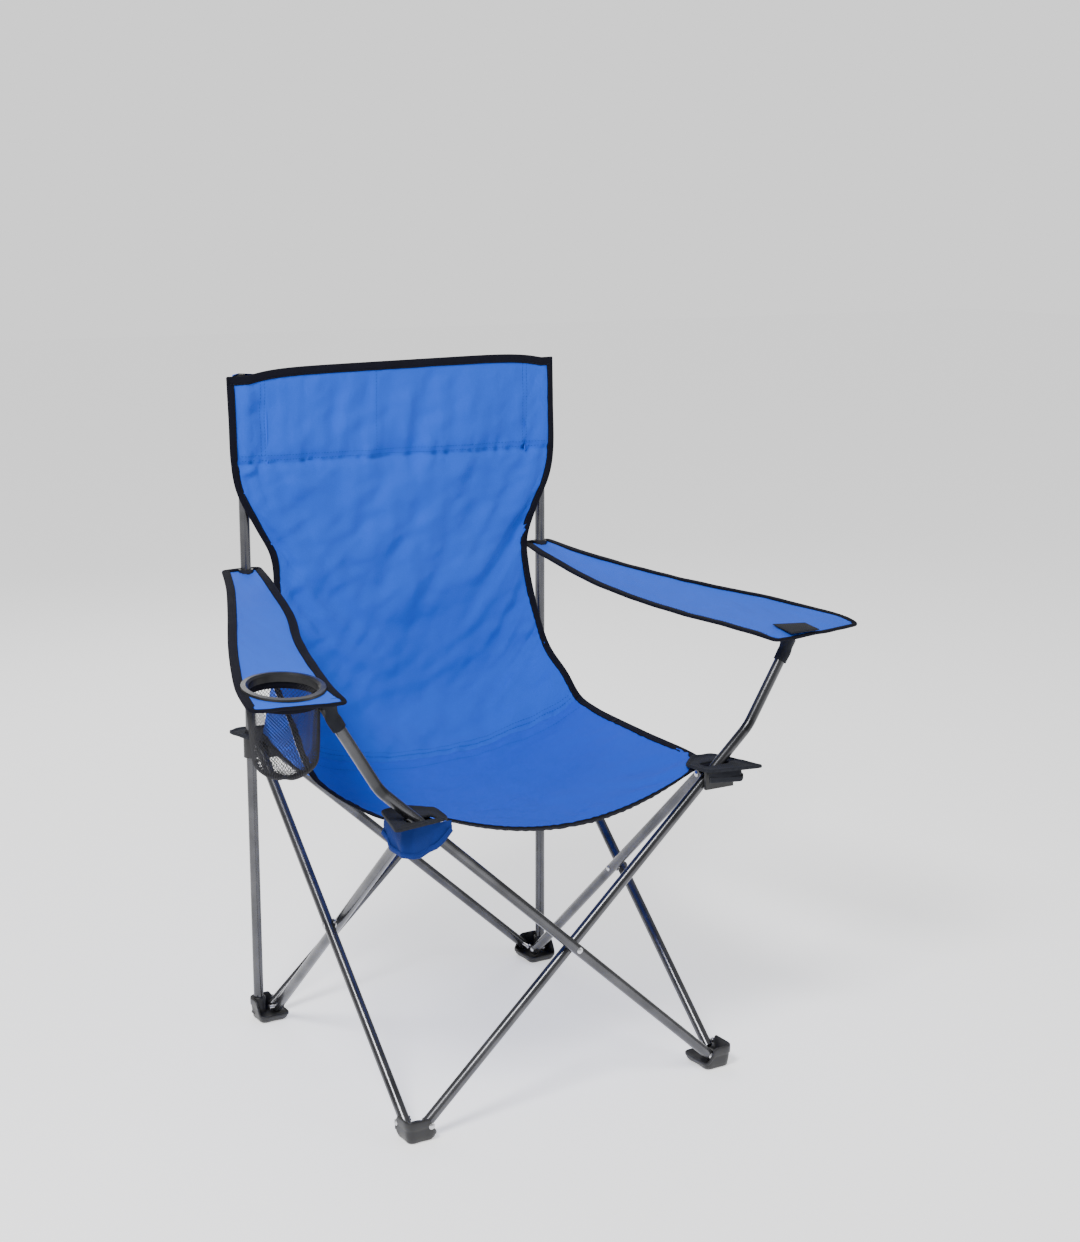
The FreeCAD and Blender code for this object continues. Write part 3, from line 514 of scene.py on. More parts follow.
RIDES = {
    "seat_front": ("front_right_joint", 0, split_rows["seat_mid"]),
    "seat_rear": ("rear_right_slider", split_rows["seat_mid"], split_rows["seam"]),
    "back_lower": ("back_cloth", split_rows["seam"], split_rows["waist"]),
    "back_upper": ("rear_right_leg", split_rows["waist"], split_rows["top"]),
}
BODY = {"seat_front": "seat_front_cloth", "seat_rear": "seat_rear_cloth",
        "back_lower": "back_cloth", "back_upper": "rear_right_leg"}


def gather(obj, part):
    """The sling piece rides on its body."""
    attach(obj, BODY[part])
    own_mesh(obj)
    return obj


def sling_piece(part, mat):
    _, i0, i1 = RIDES[part]
    g = grid[i0:i1 + 1]
    nr, nc = g.shape[:2]
    faces = [(i * nc + j, i * nc + j + 1, (i + 1) * nc + j + 1, (i + 1) * nc + j)
             for i in range(nr - 1) for j in range(nc - 1)]
    uv = np.stack([flat_u[i0:i1 + 1].ravel(), flat_v[i0:i1 + 1].ravel()], 1)
    obj = add_mesh("sling_" + part, g.reshape(-1, 3), faces, mat, uv)
    nn = normals[i0:i1 + 1].reshape(-1, 3)
    obj.data.normals_split_custom_set_from_vertices([tuple(map(float, v)) for v in nn])
    gather(obj, part)
    return obj


CAD_NODE = {"seat_front": "seat_front", "seat_rear": "seat_rear", "back_lower": "back_lower",
            "back_upper": "back_panel"}


# the seat pieces take the darker seat cloth, which holds painted shade
for part, mat in (("seat_front", SEAT_PAINTED_SHADE), ("seat_rear", SEAT_PAINTED_SHADE), ("back_lower", BLUE), ("back_upper", BLUE)):
    piece = sling_piece(part, mat)
    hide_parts(CAD_NODE[part])
    _, i0, i1 = RIDES[part]
    # binding along both side edges
    for side, j, sign in (("right", 0, 1), ("left", COLS, -1)):
        path = grid[i0:i1 + 1, j]
        inward = (grid[i0:i1 + 1, j + sign * 3] - path)
        edge = tape("binding_%s_%s" % (part, side), path, normals[i0:i1 + 1, j], inward, 0.0095)
        gather(edge, part)
        run = grid[i0:i1 + 1, j] + unit(inward) * 0.0078 + normals[i0:i1 + 1, j] * 0.0012
        gather(stitches("stitch_edge_%s_%s" % (part, side), run, normals[i0:i1 + 1, j], THREAD_DARK), part)

# binding along the front edge of the seat and the top of the back
front = tape("binding_seat_front_edge", grid[0], normals[0], grid[2] - grid[0], 0.010, 0.003)
gather(front, "seat_front")
run = grid[0] + unit(grid[2] - grid[0]) * 0.0084 + normals[0] * 0.0013
gather(stitches("stitch_seat_front_edge", run, normals[0], THREAD_DARK), "seat_front")
top = tape("binding_back_top", grid[-1], normals[-1], grid[-3] - grid[-1], 0.011, 0.0032)
gather(top, "back_upper")
run = grid[-1] + unit(grid[-3] - grid[-1]) * 0.0094 + normals[-1] * 0.0014
gather(stitches("stitch_back_top", run, normals[-1], THREAD_DARK), "back_upper")


def surface_line(i, offset):
    """A line across the sling, offset metres along from row i."""
    v = SPAN[i] + offset
    k = int(np.clip(np.searchsorted(SPAN, v) - 1, 0, len(SPAN) - 2))
    t = (v - SPAN[k]) / (SPAN[k + 1] - SPAN[k])
    return (grid[k] * (1 - t) + grid[k + 1] * t)[2:-2], (normals[k] * (1 - t) + normals[k + 1] * t)[2:-2]


def column_line(x, i0, i1):
    pts, nrm = [], []
    for i in range(i0, i1 + 1):
        j = int(np.clip(np.searchsorted(grid[i, :, 0], x) - 1, 0, COLS - 1))
        t = (x - grid[i, j, 0]) / (grid[i, j + 1, 0] - grid[i, j, 0])
        pts.append(grid[i, j] * (1 - t) + grid[i, j + 1] * t)
        nrm.append(normals[i, j] * (1 - t) + normals[i, j + 1] * t)
    return np.array(pts), np.array(nrm)


band = 15 * PER
for k, (row, off, part) in enumerate((
        (band, .003, "back_upper"), (band, .0095, "back_upper"), (split_rows["seam"], .005, "back_lower"),
        (split_rows["seam"], .0115, "back_lower"), (split_rows["seam"], -.022, "seat_rear"))):
    pts, nrm = surface_line(row, off)
    gather(stitches("stitch_across_%d" % k, pts, nrm, THREAD), part)
for k, x in enumerate((CENTRE_X + .003, SEAM_X[-1] + .003, SEAM_X[-1] - .003, SEAM_X[1] - .003,
                       SEAM_X[1] + .003)):
    pts, nrm = column_line(x, band + 1, split_rows["top"] - 1)
    gather(stitches("stitch_up_%d" % k, pts, nrm, THREAD), "back_upper")

# ------------------------------------------------------------------ sleeves on the posts

for side, sx, body in (("right", -1, "rear_right_leg"), ("left", 1, "rear_left_leg")):
    z0, z1 = SLEEVE_Z - .004, HEAD_Z - .006
    prof = []
    edge = .2490 if sx < 0 else .2440
    for t in np.linspace(0, 1, 9):
        prof.append((edge - t ** 1.5 * (edge - POST_X - .0096), BACK_Y + .001 + t * .0135))
    for t in np.linspace(0, math.pi / 2, 9)[1:]:
        prof.append((POST_X + .0008 + .0088 * math.cos(t), POST_Y + .0005 + .0088 * math.sin(t)))
    for t in np.linspace(0, 1, 14)[1:]:
        x = POST_X + .0008 - t * .033
        prof.append((x, POST_Y + .0093 - (t ** 1.6) * (POST_Y + .0093 - BACK_Y - .0030)))
    prof = np.array(prof)
    step = np.concatenate([[0], np.cumsum(np.linalg.norm(np.diff(prof, axis=0), axis=1))])
    nz = 34
    verts, uvs, faces = [], [], []
    for i in range(nz + 1):
        z = z0 + (z1 - z0) * i / nz
        for j, (x, y) in enumerate(prof):
            swell = 0.0012 * noise.noise(Vector((x * 60, z * 22, sx * 3.0))) + 0.0006 * math.sin(z * 70 + x * 200)
            lim = max(0.0, min(1.0, (j - 1) / 4, (len(prof) - 1 - j) / 5))
            verts.append((sx * (x + swell * lim * 0.3), y + abs(swell) * lim, z))
            uvs.append((step[j] + sx, z))
    m = len(prof)
    for i in range(nz):
        for j in range(m - 1):
            q = (i * m + j, i * m + j + 1, (i + 1) * m + j + 1, (i + 1) * m + j)
            faces.append(q if sx < 0 else q[::-1])
    last = nz * m
    centre = len(verts)
    verts.append((sx * (POST_X + .002), POST_Y, z1 + .002))
    uvs.append((sx, z1 + .02))
    for j in range(m - 1):
        q = (last + j, last + j + 1, centre)
        faces.append(q if sx < 0 else q[::-1])
    verts.append((sx * prof[-1][0], BACK_Y + .001, z1))
    uvs.append((sx, z1 + .01))
    sleeve = add_mesh("sleeve_cloth_" + side, verts, faces, BLUE, uvs)
    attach(sleeve, body)
    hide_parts("sleeve_" + side)
    rim_path = np.array([(sx * x, y, z0) for x, y in prof])
    out_dir = np.array([(sx * (x - POST_X), y - POST_Y, 0) for x, y in prof])
    hem = tape("sleeve_hem_" + side, rim_path, out_dir, np.tile((0, 0, 1.0), (m, 1)), 0.008, 0.0022,
               mat=BLUE)
    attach(hem, body)

# ------------------------------------------------------------------ side gussets to the rear joints

for side, sx, body, j in (("right", -1, "rear_right_slider", 0), ("left", 1, "rear_left_slider", COLS)):
    i0, i1 = 5 * PER, 8 * PER + PER // 2
    upper = grid[i0:i1 + 1, j] + np.array([sx * .0012, 0, -.0005])
    n = len(upper)
    tip = np.array([sx * .224, .212, JOINT_TOP + .0024])
    start = upper[0]
    lower = np.array([start + (tip - start) * t + np.array([0, 0, -.006 * math.sin(math.pi * t)])
                      for t in np.linspace(0, 1, n)])
    levels = 10
    verts, uvs, faces = [], [], []
    for i in range(n):
        for k in range(levels + 1):
            t = k / levels
            p = lower[i] * (1 - t) + upper[i] * t
            p = p + np.array([sx * .004 * math.sin(math.pi * t) * math.sin(math.pi * i / (n - 1)), 0, 0])
            verts.append(p)
            uvs.append((p[1], p[2]))
    for i in range(n - 1):
        for k in range(levels):
            q = (i * (levels + 1) + k, (i + 1) * (levels + 1) + k, (i + 1) * (levels + 1) + k + 1,
                 i * (levels + 1) + k + 1)
            faces.append(q)
    wing = add_mesh("gusset_" + side, verts, faces, BLUE, uvs)
    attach(wing, body)
    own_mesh(wing)
    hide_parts("wing_" + side)
    run = np.linalg.norm(np.diff((upper + lower) / 2, axis=0), axis=1)
    inward = upper - lower
    inward[0] = inward[1]
    bound = slice(4, None)          # the binding starts behind the sling's own edge
    rim = tape("gusset_binding_" + side, lower[bound], np.tile((sx * 1.0, 0, 0), (n - 4, 1)),
               inward[bound], 0.008, 0.0026)
    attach(rim, body)
    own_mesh(rim)

# ------------------------------------------------------------------ corner patches


def loop_points(corners, radius, count):
    """Rounded polygon sampled evenly."""
    pts = []
    m = len(corners)
    for k in range(m):
        p, a, b = (np.array(corners[q % m], float) for q in (k, k - 1, k + 1))
        da, db = unit(a - p), unit(b - p)
        r = min(radius, 0.45 * np.linalg.norm(a - p), 0.45 * np.linalg.norm(b - p))
        s, e = p + da * r, p + db * r
        for t in np.linspace(0, 1, 7):
            pts.append((1 - t) ** 2 * s + 2 * t * (1 - t) * p + t * t * e)
    pts = np.array(pts)
    ring = evenly(np.column_stack([pts, np.zeros(len(pts))]), 1e9, True)
    along = np.concatenate([[0], np.cumsum(np.linalg.norm(np.diff(np.vstack([pts, pts[:1]]), axis=0), axis=1))])
    full = np.vstack([pts, pts[:1]])
    at = np.linspace(0, along[-1], count + 1)[:-1]
    return np.stack([np.interp(at, along, full[:, k]) for k in range(2)], 1)


def by_angle(loop, centre, count):
    """The loop again, sampled at even angles about a centre."""
    ang = np.arctan2(loop[:, 1] - centre[1], loop[:, 0] - centre[0])
    order = np.argsort(ang)
    rad = np.linalg.norm(loop - centre, axis=1)[order]
    ang = ang[order]
    at = -math.pi + 2 * math.pi * np.arange(count) / count
    r = np.interp(at, np.concatenate([ang - 2 * math.pi, ang, ang + 2 * math.pi]), np.tile(rad, 3))
    return np.stack([centre[0] + r * np.cos(at), centre[1] + r * np.sin(at)], 1)


PLATE_FRONT = [(.184, .214), (.214, .184), (.246, .190), (.268, .272), (.190, .258)]
PLATE_REAR = [(.190, .218), (.218, .190), (.246, .192), (.257, .252), (.238, .262), (.194, .252)]
PLATES = {
    "front_right": (-1, -1, "front_right_joint", PLATE_FRONT, (.2205, .244)),
    "front_left": (1, -1, "front_left_joint", PLATE_FRONT, (.2205, .228)),
    "rear_right": (-1, 1, "rear_right_slider", PLATE_REAR, (POST_X, POST_Y)),
    "rear_left": (1, 1, "rear_left_slider", PLATE_REAR, (POST_X, POST_Y)),
}
for corner, (sx, sy, body, outline, hole) in PLATES.items():
    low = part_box("corner_plate_" + corner)[0].z
    count = 120
    outer = by_angle(loop_points(outline, .006, 400), np.array(hole), count)
    if sy < 0:
        hx, hy = .0198, .0088
        inner = by_angle(loop_points([(hole[0] - hx, hole[1] - hy), (hole[0] + hx, hole[1] - hy),
                                      (hole[0] + hx, hole[1] + hy), (hole[0] - hx, hole[1] + hy)],
                                     .006, 400), np.array(hole), count)
    else:
        t = -math.pi + 2 * math.pi * np.arange(count) / count
        inner = np.stack([hole[0] + .0082 * np.cos(t), hole[1] + .0082 * np.sin(t)], 1)
    # rings from the hole to the outer rim and down: (share outwards, height)
    rings = [(0, .0000), (0, .0026), (.06, .0036), (.14, .0030), (.5, .0032), (.86, .0030), (.90, .0044),
             (.97, .0044), (1.0, .0034), (1.0, .0004), (.94, .0000)]
    verts, uvs, faces = [], [], []
    for share, h in rings:
        for k in range(count):
            p = inner[k] * (1 - share) + outer[k] * share
            lift = h + 0.0006 * noise.noise(Vector((p[0] * 90, p[1] * 90, sx + 2 * sy)))
            verts.append((sx * p[0], sy * p[1], low + max(lift, 0)))
            uvs.append((p[0], p[1]))
    flip = sx * sy < 0
    nrings = len(rings)
    for r in range(nrings):
        for k in range(count):
            n = (k + 1) % count
            q = (r * count + k, r * count + n, ((r + 1) % nrings) * count + n, ((r + 1) % nrings) * count + k)
            faces.append(q if flip else q[::-1])
    patch = add_mesh("corner_patch_" + corner, verts, faces, PATCH, uvs)
    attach(patch, body)
    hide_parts("corner_plate_" + corner)
    for tag, share in (("a", .78), ("b", .22)):
        loop = inner * (1 - share) + outer * share
        path = np.array([(sx * p[0], sy * p[1], low + .0034) for p in np.vstack([loop, loop[:1]])])
        run = stitches("corner_stitch_%s_%s" % (corner, tag), path, np.tile((0, 0, 1.0), (len(path), 1)), THREAD_DARK)
        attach(run, body)

# ------------------------------------------------------------------ moulded feet

for corner in ("front_right", "front_left", "rear_right", "rear_left"):
    lo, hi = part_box("foot_" + corner)
    sx, sy = (1 if "left" in corner else -1), (1 if "rear" in corner else -1)
    body = "rear_right_leg" if corner == "rear_right" else (
        "rear_left_leg" if corner == "rear_left" else corner + "_foot")
    u0, u1 = sorted((abs(lo.x), abs(hi.x)))
    v0, v1 = sorted((abs(lo.y), abs(hi.y)))
    high = hi.z - lo.z
    cu, cv, hu, hv = (u0 + u1) / 2, (v0 + v1) / 2, (u1 - u0) / 2, (v1 - v0) / 2
    count = 112
    ring = by_angle(loop_points([(-hu, -hv), (hu, -hv), (hu, hv), (-hu, hv)], .0115, 480), np.array((0.0, 0.0)), count)
    # a wall that is tall outboard and low where the tubes leave the foot
    tall = np.zeros(count)
    for k, (p, q) in enumerate(ring):
        inboard = max(-p / hu, -q / hv)
        tall[k] = 1 - min(1.0, max(0.0, (inboard - .42) / .4))
    for _ in range(3):
        tall = (np.roll(tall, 1) + np.roll(tall, -1) + tall) / 3
    top_z = .0105 + (high - .0105) * tall
    # (offset from the outline, share of the wall height or None for a fixed height, fixed height)
    section = [(-.0060, None, 0.0), (-.0048, None, .0006), (-.0036, None, .0022), (-.0022, .30, 0), (-.0013, .52, 0),
               (-.0012, .60, 0), (.0002, .64, 0), (.0004, .90, 0), (.0000, .97, 0), (-.0010, 1.0, 0),
               (-.0020, .985, 0), (-.0026, .93, 0), (-.0034, None, .0098), (-.0075, None, .0085)]
    verts, faces = [], []
    for off, share, fixed in section:
        for k, (p, q) in enumerate(ring):
            r = math.hypot(p, q)
            z = fixed if share is None else top_z[k] * share
            z = min(z, top_z[k])
            verts.append((sx * (cu + p * (1 + off / r)), sy * (cv + q * (1 + off / r)), lo.z + z))
    flip = sx * sy < 0
    for i in range(len(section) - 1):
        for k in range(count):
            n = (k + 1) % count
            q = (i * count + k, i * count + n, (i + 1) * count + n, (i + 1) * count + k)
            faces.append(q[::-1] if flip else q)
    under, floor_in = tuple(range(count)), tuple(range((len(section) - 1) * count, len(section) * count))
    faces.append(under if flip else under[::-1])
    faces.append(floor_in[::-1] if flip else floor_in)
    shoe = add_mesh("foot_shell_" + corner, verts, faces, BLACK)
    bevel = shoe.modifiers.new("edge", "BEVEL")
    bevel.width = .0004
    bevel.limit_method = "ANGLE"
    bevel.angle_limit = math.radians(50)
    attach(shoe, body)
    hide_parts("foot_" + corner)
    parts = []
    if sy > 0:
        parts.append((POST_X, POST_Y, .0096, high))
    for pu_, pv_, rad, top in parts:
        sv, sf, m = [], [], 40
        for rr, zz in ((rad + .0012, .008), (rad, .012), (rad, top - .001), (rad - .0008, top), (.0072, top), (.0072, .012)):
            for k in range(m):
                t = 2 * math.pi * k / m
                sv.append((sx * pu_ + rr * math.cos(t), sy * pv_ + rr * math.sin(t), zz))
        for i in range(5):
            for k in range(m):
                n = (k + 1) % m
                sf.append((i * m + k, i * m + n, (i + 1) * m + n, (i + 1) * m + k))
        socket = add_mesh("foot_socket_" + corner, sv, sf, BLACK)
        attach(socket, body)

# ------------------------------------------------------------------ cloth flaps of the front corners


def hanging_strip(name, path, drop, body, seed, node_name, wave=.002, mat=None):
    """Cloth that hangs from a line, with soft folds."""
    pts = evenly(path, .0025)
    n, levels = len(pts), 14
    verts, uvs, faces = [], [], []
    tangent = unit(np.gradient(pts, axis=0))
    side = np.stack([tangent[:, 1], -tangent[:, 0], np.zeros(n)], 1)
    drops = np.interp(np.linspace(0, 1, n), np.linspace(0, 1, len(drop)), drop)
    for i in range(n):
        for k in range(levels + 1):
            t = k / levels
            f = noise.noise(Vector((i * .09, t * 1.3, seed)))
            p = pts[i] + np.array([0, 0, -drops[i] * t]) + side[i] * (abs(f) * wave * t * 2 + .0015 * t)
            verts.append(p)
            uvs.append((i * .0025, t * drops[i]))
    for i in range(n - 1):
        for k in range(levels):
            faces.append((i * (levels + 1) + k, i * (levels + 1) + k + 1, (i + 1) * (levels + 1) + k + 1,
                          (i + 1) * (levels + 1) + k))
    obj = add_mesh(name, verts, faces, mat or BLUE, uvs)
    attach(obj, body)
    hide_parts(node_name)
    bottom = np.array(verts).reshape(n, levels + 1, 3)[:, -1]
    hem = tape(name + "_hem", bottom, side, np.tile((0, 0, 1.0), (n, 1)), .006, .0022, mat=mat or BLUE)
    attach(hem, body)
    return obj


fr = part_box("corner_flap_front_right")
# the front right flap takes the darkened flap cloth, painted shade
hanging_strip("flap_front_right", [(-.2475, -.203, .4125), (-.2475, -.250, .4125), (-.2385, -.2585, .4125),
                                   (-.186, -.2575, .4125)],
              (.020, .034, .037, .038, .030, .012), "front_right_joint", 2.2,
              "corner_flap_front_right", .0025, FLAP_PAINTED_SHADE)
hanging_strip("flap_front_left", [(.190, -.2578, .4125), (.2400, -.2585, .4125), (.2480, -.250, .4125),
                                  (.2480, -.205, .4125)],
              (.010, .013, .015, .014, .012), "front_left_joint", 5.1,
              "corner_flap_front_left", .0015, PATCH)

# ------------------------------------------------------------------ armrests

REAR_Z, FRONT_Z = .640, .5805


def arm_height(y):
    return REAR_Z - (REAR_Z - FRONT_Z) / (POST_Y + .262) * (POST_Y - y) + .0012


ARM = {
    "right": dict(
        sx=-1, body="armrest_right_cloth",
        inner=[(.207, .242), (.221, .165), (.254, .030), (.285, -.060), (.308, -.150), (.325, -.235), (.325, -.272)],
        outer=[(.262, .243), (.288, .165), (.326, .070), (.380, -.060), (.424, -.180), (.438, -.235), (.441, -.262)]),
    "left": dict(
        sx=1, body="armrest_left_cloth",
        inner=[(.209, .238), (.205, .165), (.206, .040), (.226, -.060), (.248, -.150), (.279, -.240), (.290, -.262)],
        outer=[(.255, .242), (.271, .150), (.303, .060), (.353, -.040), (.397, -.120), (.436, -.215), (.442, -.245)]),
}
CUP = (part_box("cup_ring")[0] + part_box("cup_ring")[1]) / 2


def shaped(keys, count):
    line = catmull(keys, 24)
    d = np.concatenate([[0], np.cumsum(np.linalg.norm(np.diff(line, axis=0), axis=1))])
    at = np.linspace(0, d[-1], count)
    return np.stack([np.interp(at, d, line[:, k]) for k in range(2)], 1)


def fold_arm(obj, side):
    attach(obj, ARM[side]["body"])
    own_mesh(obj)
    return obj


for side, arm in ARM.items():
    sx = arm["sx"]
    nl, nw = 150, 32
    inner, outer = shaped(arm["inner"], nl), shaped(arm["outer"], nl)
    plan = np.zeros((nl, nw + 1, 3))
    for i in range(nl):
        for k in range(nw + 1):
            t = k / nw
            x, y = inner[i] * (1 - t) + outer[i] * t
            front_bow = max(0.0, (i / (nl - 1) - 0.9) / 0.1)
            y -= front_bow * .005 * math.sin(math.pi * t)
            run = i / (nl - 1)
            sag = -.0045 * math.sin(math.pi * t) * math.sin(math.pi * min(1, run * 1.05)) ** .6
            sag -= (.006 * (1 - t) ** 2 * math.sin(math.pi * run) if side == 'left' else 0.0)
            sag += .0016 * noise.noise(Vector((x * 16, y * 9, 3 + sx))) * min(1, 6 * run)
            sag += .0009 * noise.noise(Vector((x * 60, y * 22, 7 + sx)))
            sag -= .0035 * max(0.0, (run - .93) / .07) ** 2
            if side == "right":
                away = math.hypot(x - abs(CUP.x), y - CUP.y)
                sag *= min(1.0, max(0.0, (away - .046) / .02))
            plan[i, k] = (sx * x, y, arm_height(y) + sag)
    post_away = np.hypot(np.abs(plan[:, :, 0]) - POST_X, plan[:, :, 1] - POST_Y)
    skip = post_away < .0082
    if side == "right":
        skip = skip | (np.hypot(plan[:, :, 0] - CUP.x, plan[:, :, 1] - CUP.y) < .0435)
    for tip in (plan[-1, 0], plan[-1, -1]):             # the front corners are rounded off
        skip = skip | (np.hypot(plan[:, :, 0] - tip[0], plan[:, :, 1] - tip[1]) < .0065)
    faces = []
    for i in range(nl - 1):
        for k in range(nw):
            corner = [(i, k), (i, k + 1), (i + 1, k + 1), (i + 1, k)]
            if any(skip[c] for c in corner):
                continue
            q = tuple(a * (nw + 1) + b for a, b in corner)
            faces.append(q if sx < 0 else q[::-1])
    uv = np.stack([plan[:, :, 0].ravel(), plan[:, :, 1].ravel()], 1)
    rest = add_mesh("armrest_cloth_" + side, plan.reshape(-1, 3), faces, ARM_BLUE, uv)
    loose = [v for v in range(nl * (nw + 1))]
    used = {v for f in faces for v in f}
    import bmesh
    bm = bmesh.new()
    bm.from_mesh(rest.data)
    bm.verts.ensure_lookup_table()
    bmesh.ops.delete(bm, geom=[bm.verts[v] for v in loose if v not in used], context="VERTS")
    bmesh.ops.recalc_face_normals(bm, faces=bm.faces)
    if sum(f.normal.z for f in bm.faces) < 0:
        bmesh.ops.reverse_faces(bm, faces=bm.faces)
    bm.to_mesh(rest.data)
    bm.free()
    shaded(rest.data)
    solid = rest.modifiers.new("doubled", "SOLIDIFY")
    solid.thickness = .0020
    solid.offset = 0
    fold_arm(rest, side)
    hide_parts("armrest_" + side)
    pattern = plan.copy()
    pattern[:, :, 2] = arm_height(pattern[:, :, 1])     # the cut lies flat, without sag
    loop = np.vstack([plan[:, 0], plan[-1, 1:-1], plan[::-1, -1], plan[0, -2:0:-1]])
    loop = evenly(loop, .004, True)
    smooth = loop.copy()
    for _ in range(3):
        smooth = (np.roll(smooth, 1, 0) + np.roll(smooth, -1, 0) + 2 * smooth) / 4
    way = np.roll(smooth, -1, 0) - np.roll(smooth, 1, 0)
    turn = float(np.sum(smooth[:, 0] * np.roll(smooth[:, 1], -1) - np.roll(smooth[:, 0], -1) * smooth[:, 1]))
    inside = unit(np.stack([-way[:, 1], way[:, 0], np.zeros(len(way))], 1)) * (1 if turn > 0 else -1)
    for _ in range(6):
        inside = unit((np.roll(inside, 1, 0) + np.roll(inside, -1, 0) + inside) / 3)
    edge = tape("armrest_binding_" + side, smooth, np.tile((0, 0, 1.0), (len(smooth), 1)), inside,
                .0105, .0042, True)
    fold_arm(edge, side)
    run = smooth + inside * .0088 + np.array([0, 0, .0021])
    fold_arm(stitches("armrest_stitch_" + side, np.vstack([run, run[:1]]),
                      np.tile((0, 0, 1.0), (len(run) + 1, 1)), THREAD_DARK), side)
    # pocket sewn under the armrest, where the tube pushes in
    cap_low, cap_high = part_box("arm_cap_" + side)
    lean = math.radians(31.46)
    axis = np.array([sx * math.sin(lean), 0, math.cos(lean)])
    base = np.array([(cap_low.x + cap_high.x) / 2, (cap_low.y + cap_high.y) / 2, (cap_low.z + cap_high.z) / 2])
    sx_dir = np.array([math.cos(lean), 0, -sx * math.sin(lean)])
    pv, pu, pf = [], [], []
    turns, steps = 40, 16
    for i in range(steps + 1):
        f = i / steps
        for k in range(turns):
            a_ = 2 * math.pi * k / turns
            r = .0088 + .0007 * math.sin(9 * f + 2 * math.sin(a_ * 2)) * f
            p = base + axis * (-.020 + .030 * f) + sx_dir * r * math.cos(a_) + np.array([0, 1, 0]) * r * math.sin(a_)
            lid = arm_height(p[1]) - .0012
            flare = max(0.0, f - .55) / .45
            p = p + (sx_dir * math.cos(a_) + np.array([0, 1, 0]) * math.sin(a_)) * flare ** 2 * .009
            p[2] = p[2] + (lid - p[2]) * flare ** 1.5
            p[2] = min(p[2], lid)
            pv.append(p)
            pu.append((k / turns * .055, f * .04))
    for i in range(steps):
        for k in range(turns):
            n_ = (k + 1) % turns
            pf.append((i * turns + k, i * turns + n_, (i + 1) * turns + n_, (i + 1) * turns + k))
    sock = add_mesh("arm_pocket_" + side, pv, pf, PATCH, pu)
    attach(sock, "right_arm_tube" if side == "right" else "left_arm_tube")
    rings = np.array(pv).reshape(steps + 1, turns, 3)
    # black tab sewn over the end, where the tube pushes into its pocket
    tip_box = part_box("arm_cap_" + side)
    tip = (tip_box[0] + tip_box[1]) / 2
    tab = []
    for i in range(13):
        for k in range(13):
            s, t = i / 12, k / 12
            x = abs(tip.x) - .019 + .046 * s
            y = -.262 + .040 * t * (1 - .25 * s)
            x = min(max(x, .30), .425)
            tab.append((sx * x, y, arm_height(y) + .0022 + .0012 * math.sin(math.pi * s) * math.sin(math.pi * t)))
    tf = [(i * 13 + k, i * 13 + k + 1, (i + 1) * 13 + k + 1, (i + 1) * 13 + k) for i in range(12) for k in range(12)]
    if side == "left":
        pocket = add_mesh("armrest_tab_" + side, tab, tf, PATCH, [(p[0], p[1]) for p in tab])
        thickness = pocket.modifiers.new("thick", "SOLIDIFY")
        thickness.thickness = .0012
        fold_arm(pocket, side)

# ------------------------------------------------------------------ mesh pouch

POUCH_TOP = CUP.z - .001
POUCH_DEEP = POUCH_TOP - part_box("cup_pouch")[0].z
around = 60
levels = []
for k in range(49):
    t = k / 48
    if t < .72:
        levels.append((.0425 - .004 * (t / .72) ** 1.5, t / .72 * POUCH_DEEP * .74))
    else:
        s = (t - .72) / .28 * math.pi / 2
        levels.append((.0385 * math.cos(s * .985), POUCH_DEEP * (.74 + .26 * math.sin(s))))
verts, faces = [], []
for k, (r, drop) in enumerate(levels):
    for q in range(around):
        ang = 2 * math.pi * (q + .5 * (k % 2)) / around
        wob = 1 + .035 * noise.noise(Vector((math.cos(ang) * 1.4, math.sin(ang) * 1.4, drop * 20)))
        verts.append((CUP.x + r * wob * math.cos(ang), CUP.y + r * wob * math.sin(ang),
                      POUCH_TOP - drop + .121 * r * math.sin(ang) * (1 - k / 48) + .0025 * noise.noise(Vector((math.cos(ang), math.sin(ang), 5 + drop * 9)))))
for k in range(len(levels) - 2):
    for q in range(around):
        left = (q - 1) % around if k % 2 == 0 else q
        right = q if k % 2 == 0 else (q + 1) % around
        faces.append((k * around + q, (k + 1) * around + left, (k + 2) * around + q, (k + 1) * around + right))
pouch = add_mesh("cup_net", verts, faces, NET, None, False)
wire = pouch.modifiers.new("net", "WIREFRAME")
wire.thickness = .0010
wire.use_even_offset = False
wire.use_replace = True
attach(pouch, "cup_holder")
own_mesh(pouch)
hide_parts("cup_pouch")
t = np.linspace(0, 2 * math.pi, 73)[:-1]
collar = np.stack([CUP.x + .0432 * np.cos(t), CUP.y + .0432 * np.sin(t), POUCH_TOP - .002 + .121 * .0432 * np.sin(t)], 1)
outward = np.stack([np.cos(t), np.sin(t), np.zeros(72)], 1)
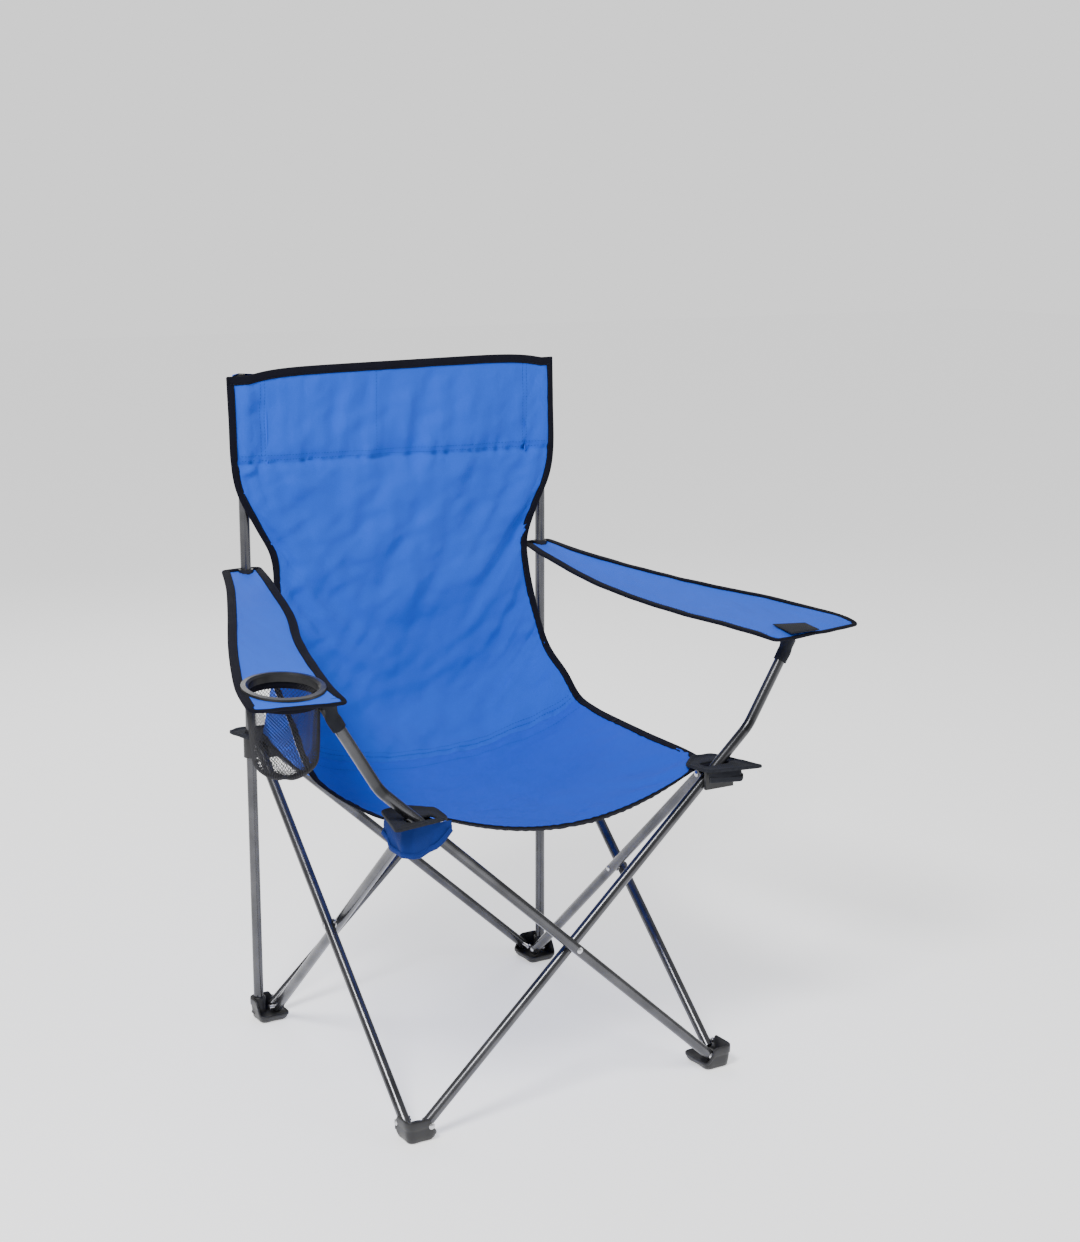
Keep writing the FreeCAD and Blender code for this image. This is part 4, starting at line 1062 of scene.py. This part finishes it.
hem = tape("cup_net_hem", collar, outward, np.tile((0, 0, -1.0), (72, 1)), .011, .0022, True)
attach(hem, "cup_holder")
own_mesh(hem)

# ------------------------------------------------------------------ floor, light, camera

bpy.ops.mesh.primitive_plane_add(size=30, location=(0, 0, -.0004))
floor = bpy.context.object
floor.name = "floor"
floor_mat, tree, bsdf = material("floor_pale", (.93, .93, .935), .9, Specular_IOR_Level=0.1)
bsdf.inputs["Emission Color"].default_value = (1, 1, 1, 1)
bsdf.inputs["Emission Strength"].default_value = 0.8
floor.data.materials.append(floor_mat)

world = bpy.data.worlds.new("studio")
bpy.context.scene.world = world
world.use_nodes = True
world.node_tree.nodes["Background"].inputs["Color"].default_value = (1, 1, 1, 1)
background = world.node_tree.nodes["Background"]
seen = world.node_tree.nodes.new("ShaderNodeLightPath").outputs["Is Camera Ray"]
power = world.node_tree.nodes.new("ShaderNodeMapRange")
world.node_tree.links.new(seen, power.inputs["Value"])
power.inputs["To Min"].default_value = .42
power.inputs["To Max"].default_value = 1.22
world.node_tree.links.new(power.outputs["Result"], background.inputs["Strength"])


def light(name, at, to, size, power, color=(1, 1, 1)):
    data = bpy.data.lights.new(name, "AREA")
    data.shape = "SQUARE"
    data.size = size
    data.energy = power
    data.color = color
    obj = bpy.data.objects.new(name, data)
    bpy.context.collection.objects.link(obj)
    obj.location = at
    obj.rotation_euler = (Vector(to) - Vector(at)).to_track_quat("-Z", "Y").to_euler()
    return obj


light("key", (-1.9, -1.3, 3.0), (0, 0, .5), 0.9, 125)
light("fill", (2.4, -2.2, 1.7), (0, 0, .5), 1.4, 20)
light("rim", (.6, 2.4, 2.2), (0, 0, .6), 1.6, 30)

camera = bpy.data.cameras.new("camera")
camera.sensor_width = 36
camera.sensor_fit = "AUTO"
camera.lens = 2004.26 * 36 / 1242
cam = bpy.data.objects.new("camera", camera)
bpy.context.collection.objects.link(cam)
cam.location = (-1.2823, -2.2611, 1.1235)
cam.rotation_euler = (math.radians(90 - 11.636), 0, math.radians(-31.322))
bpy.context.scene.camera = cam
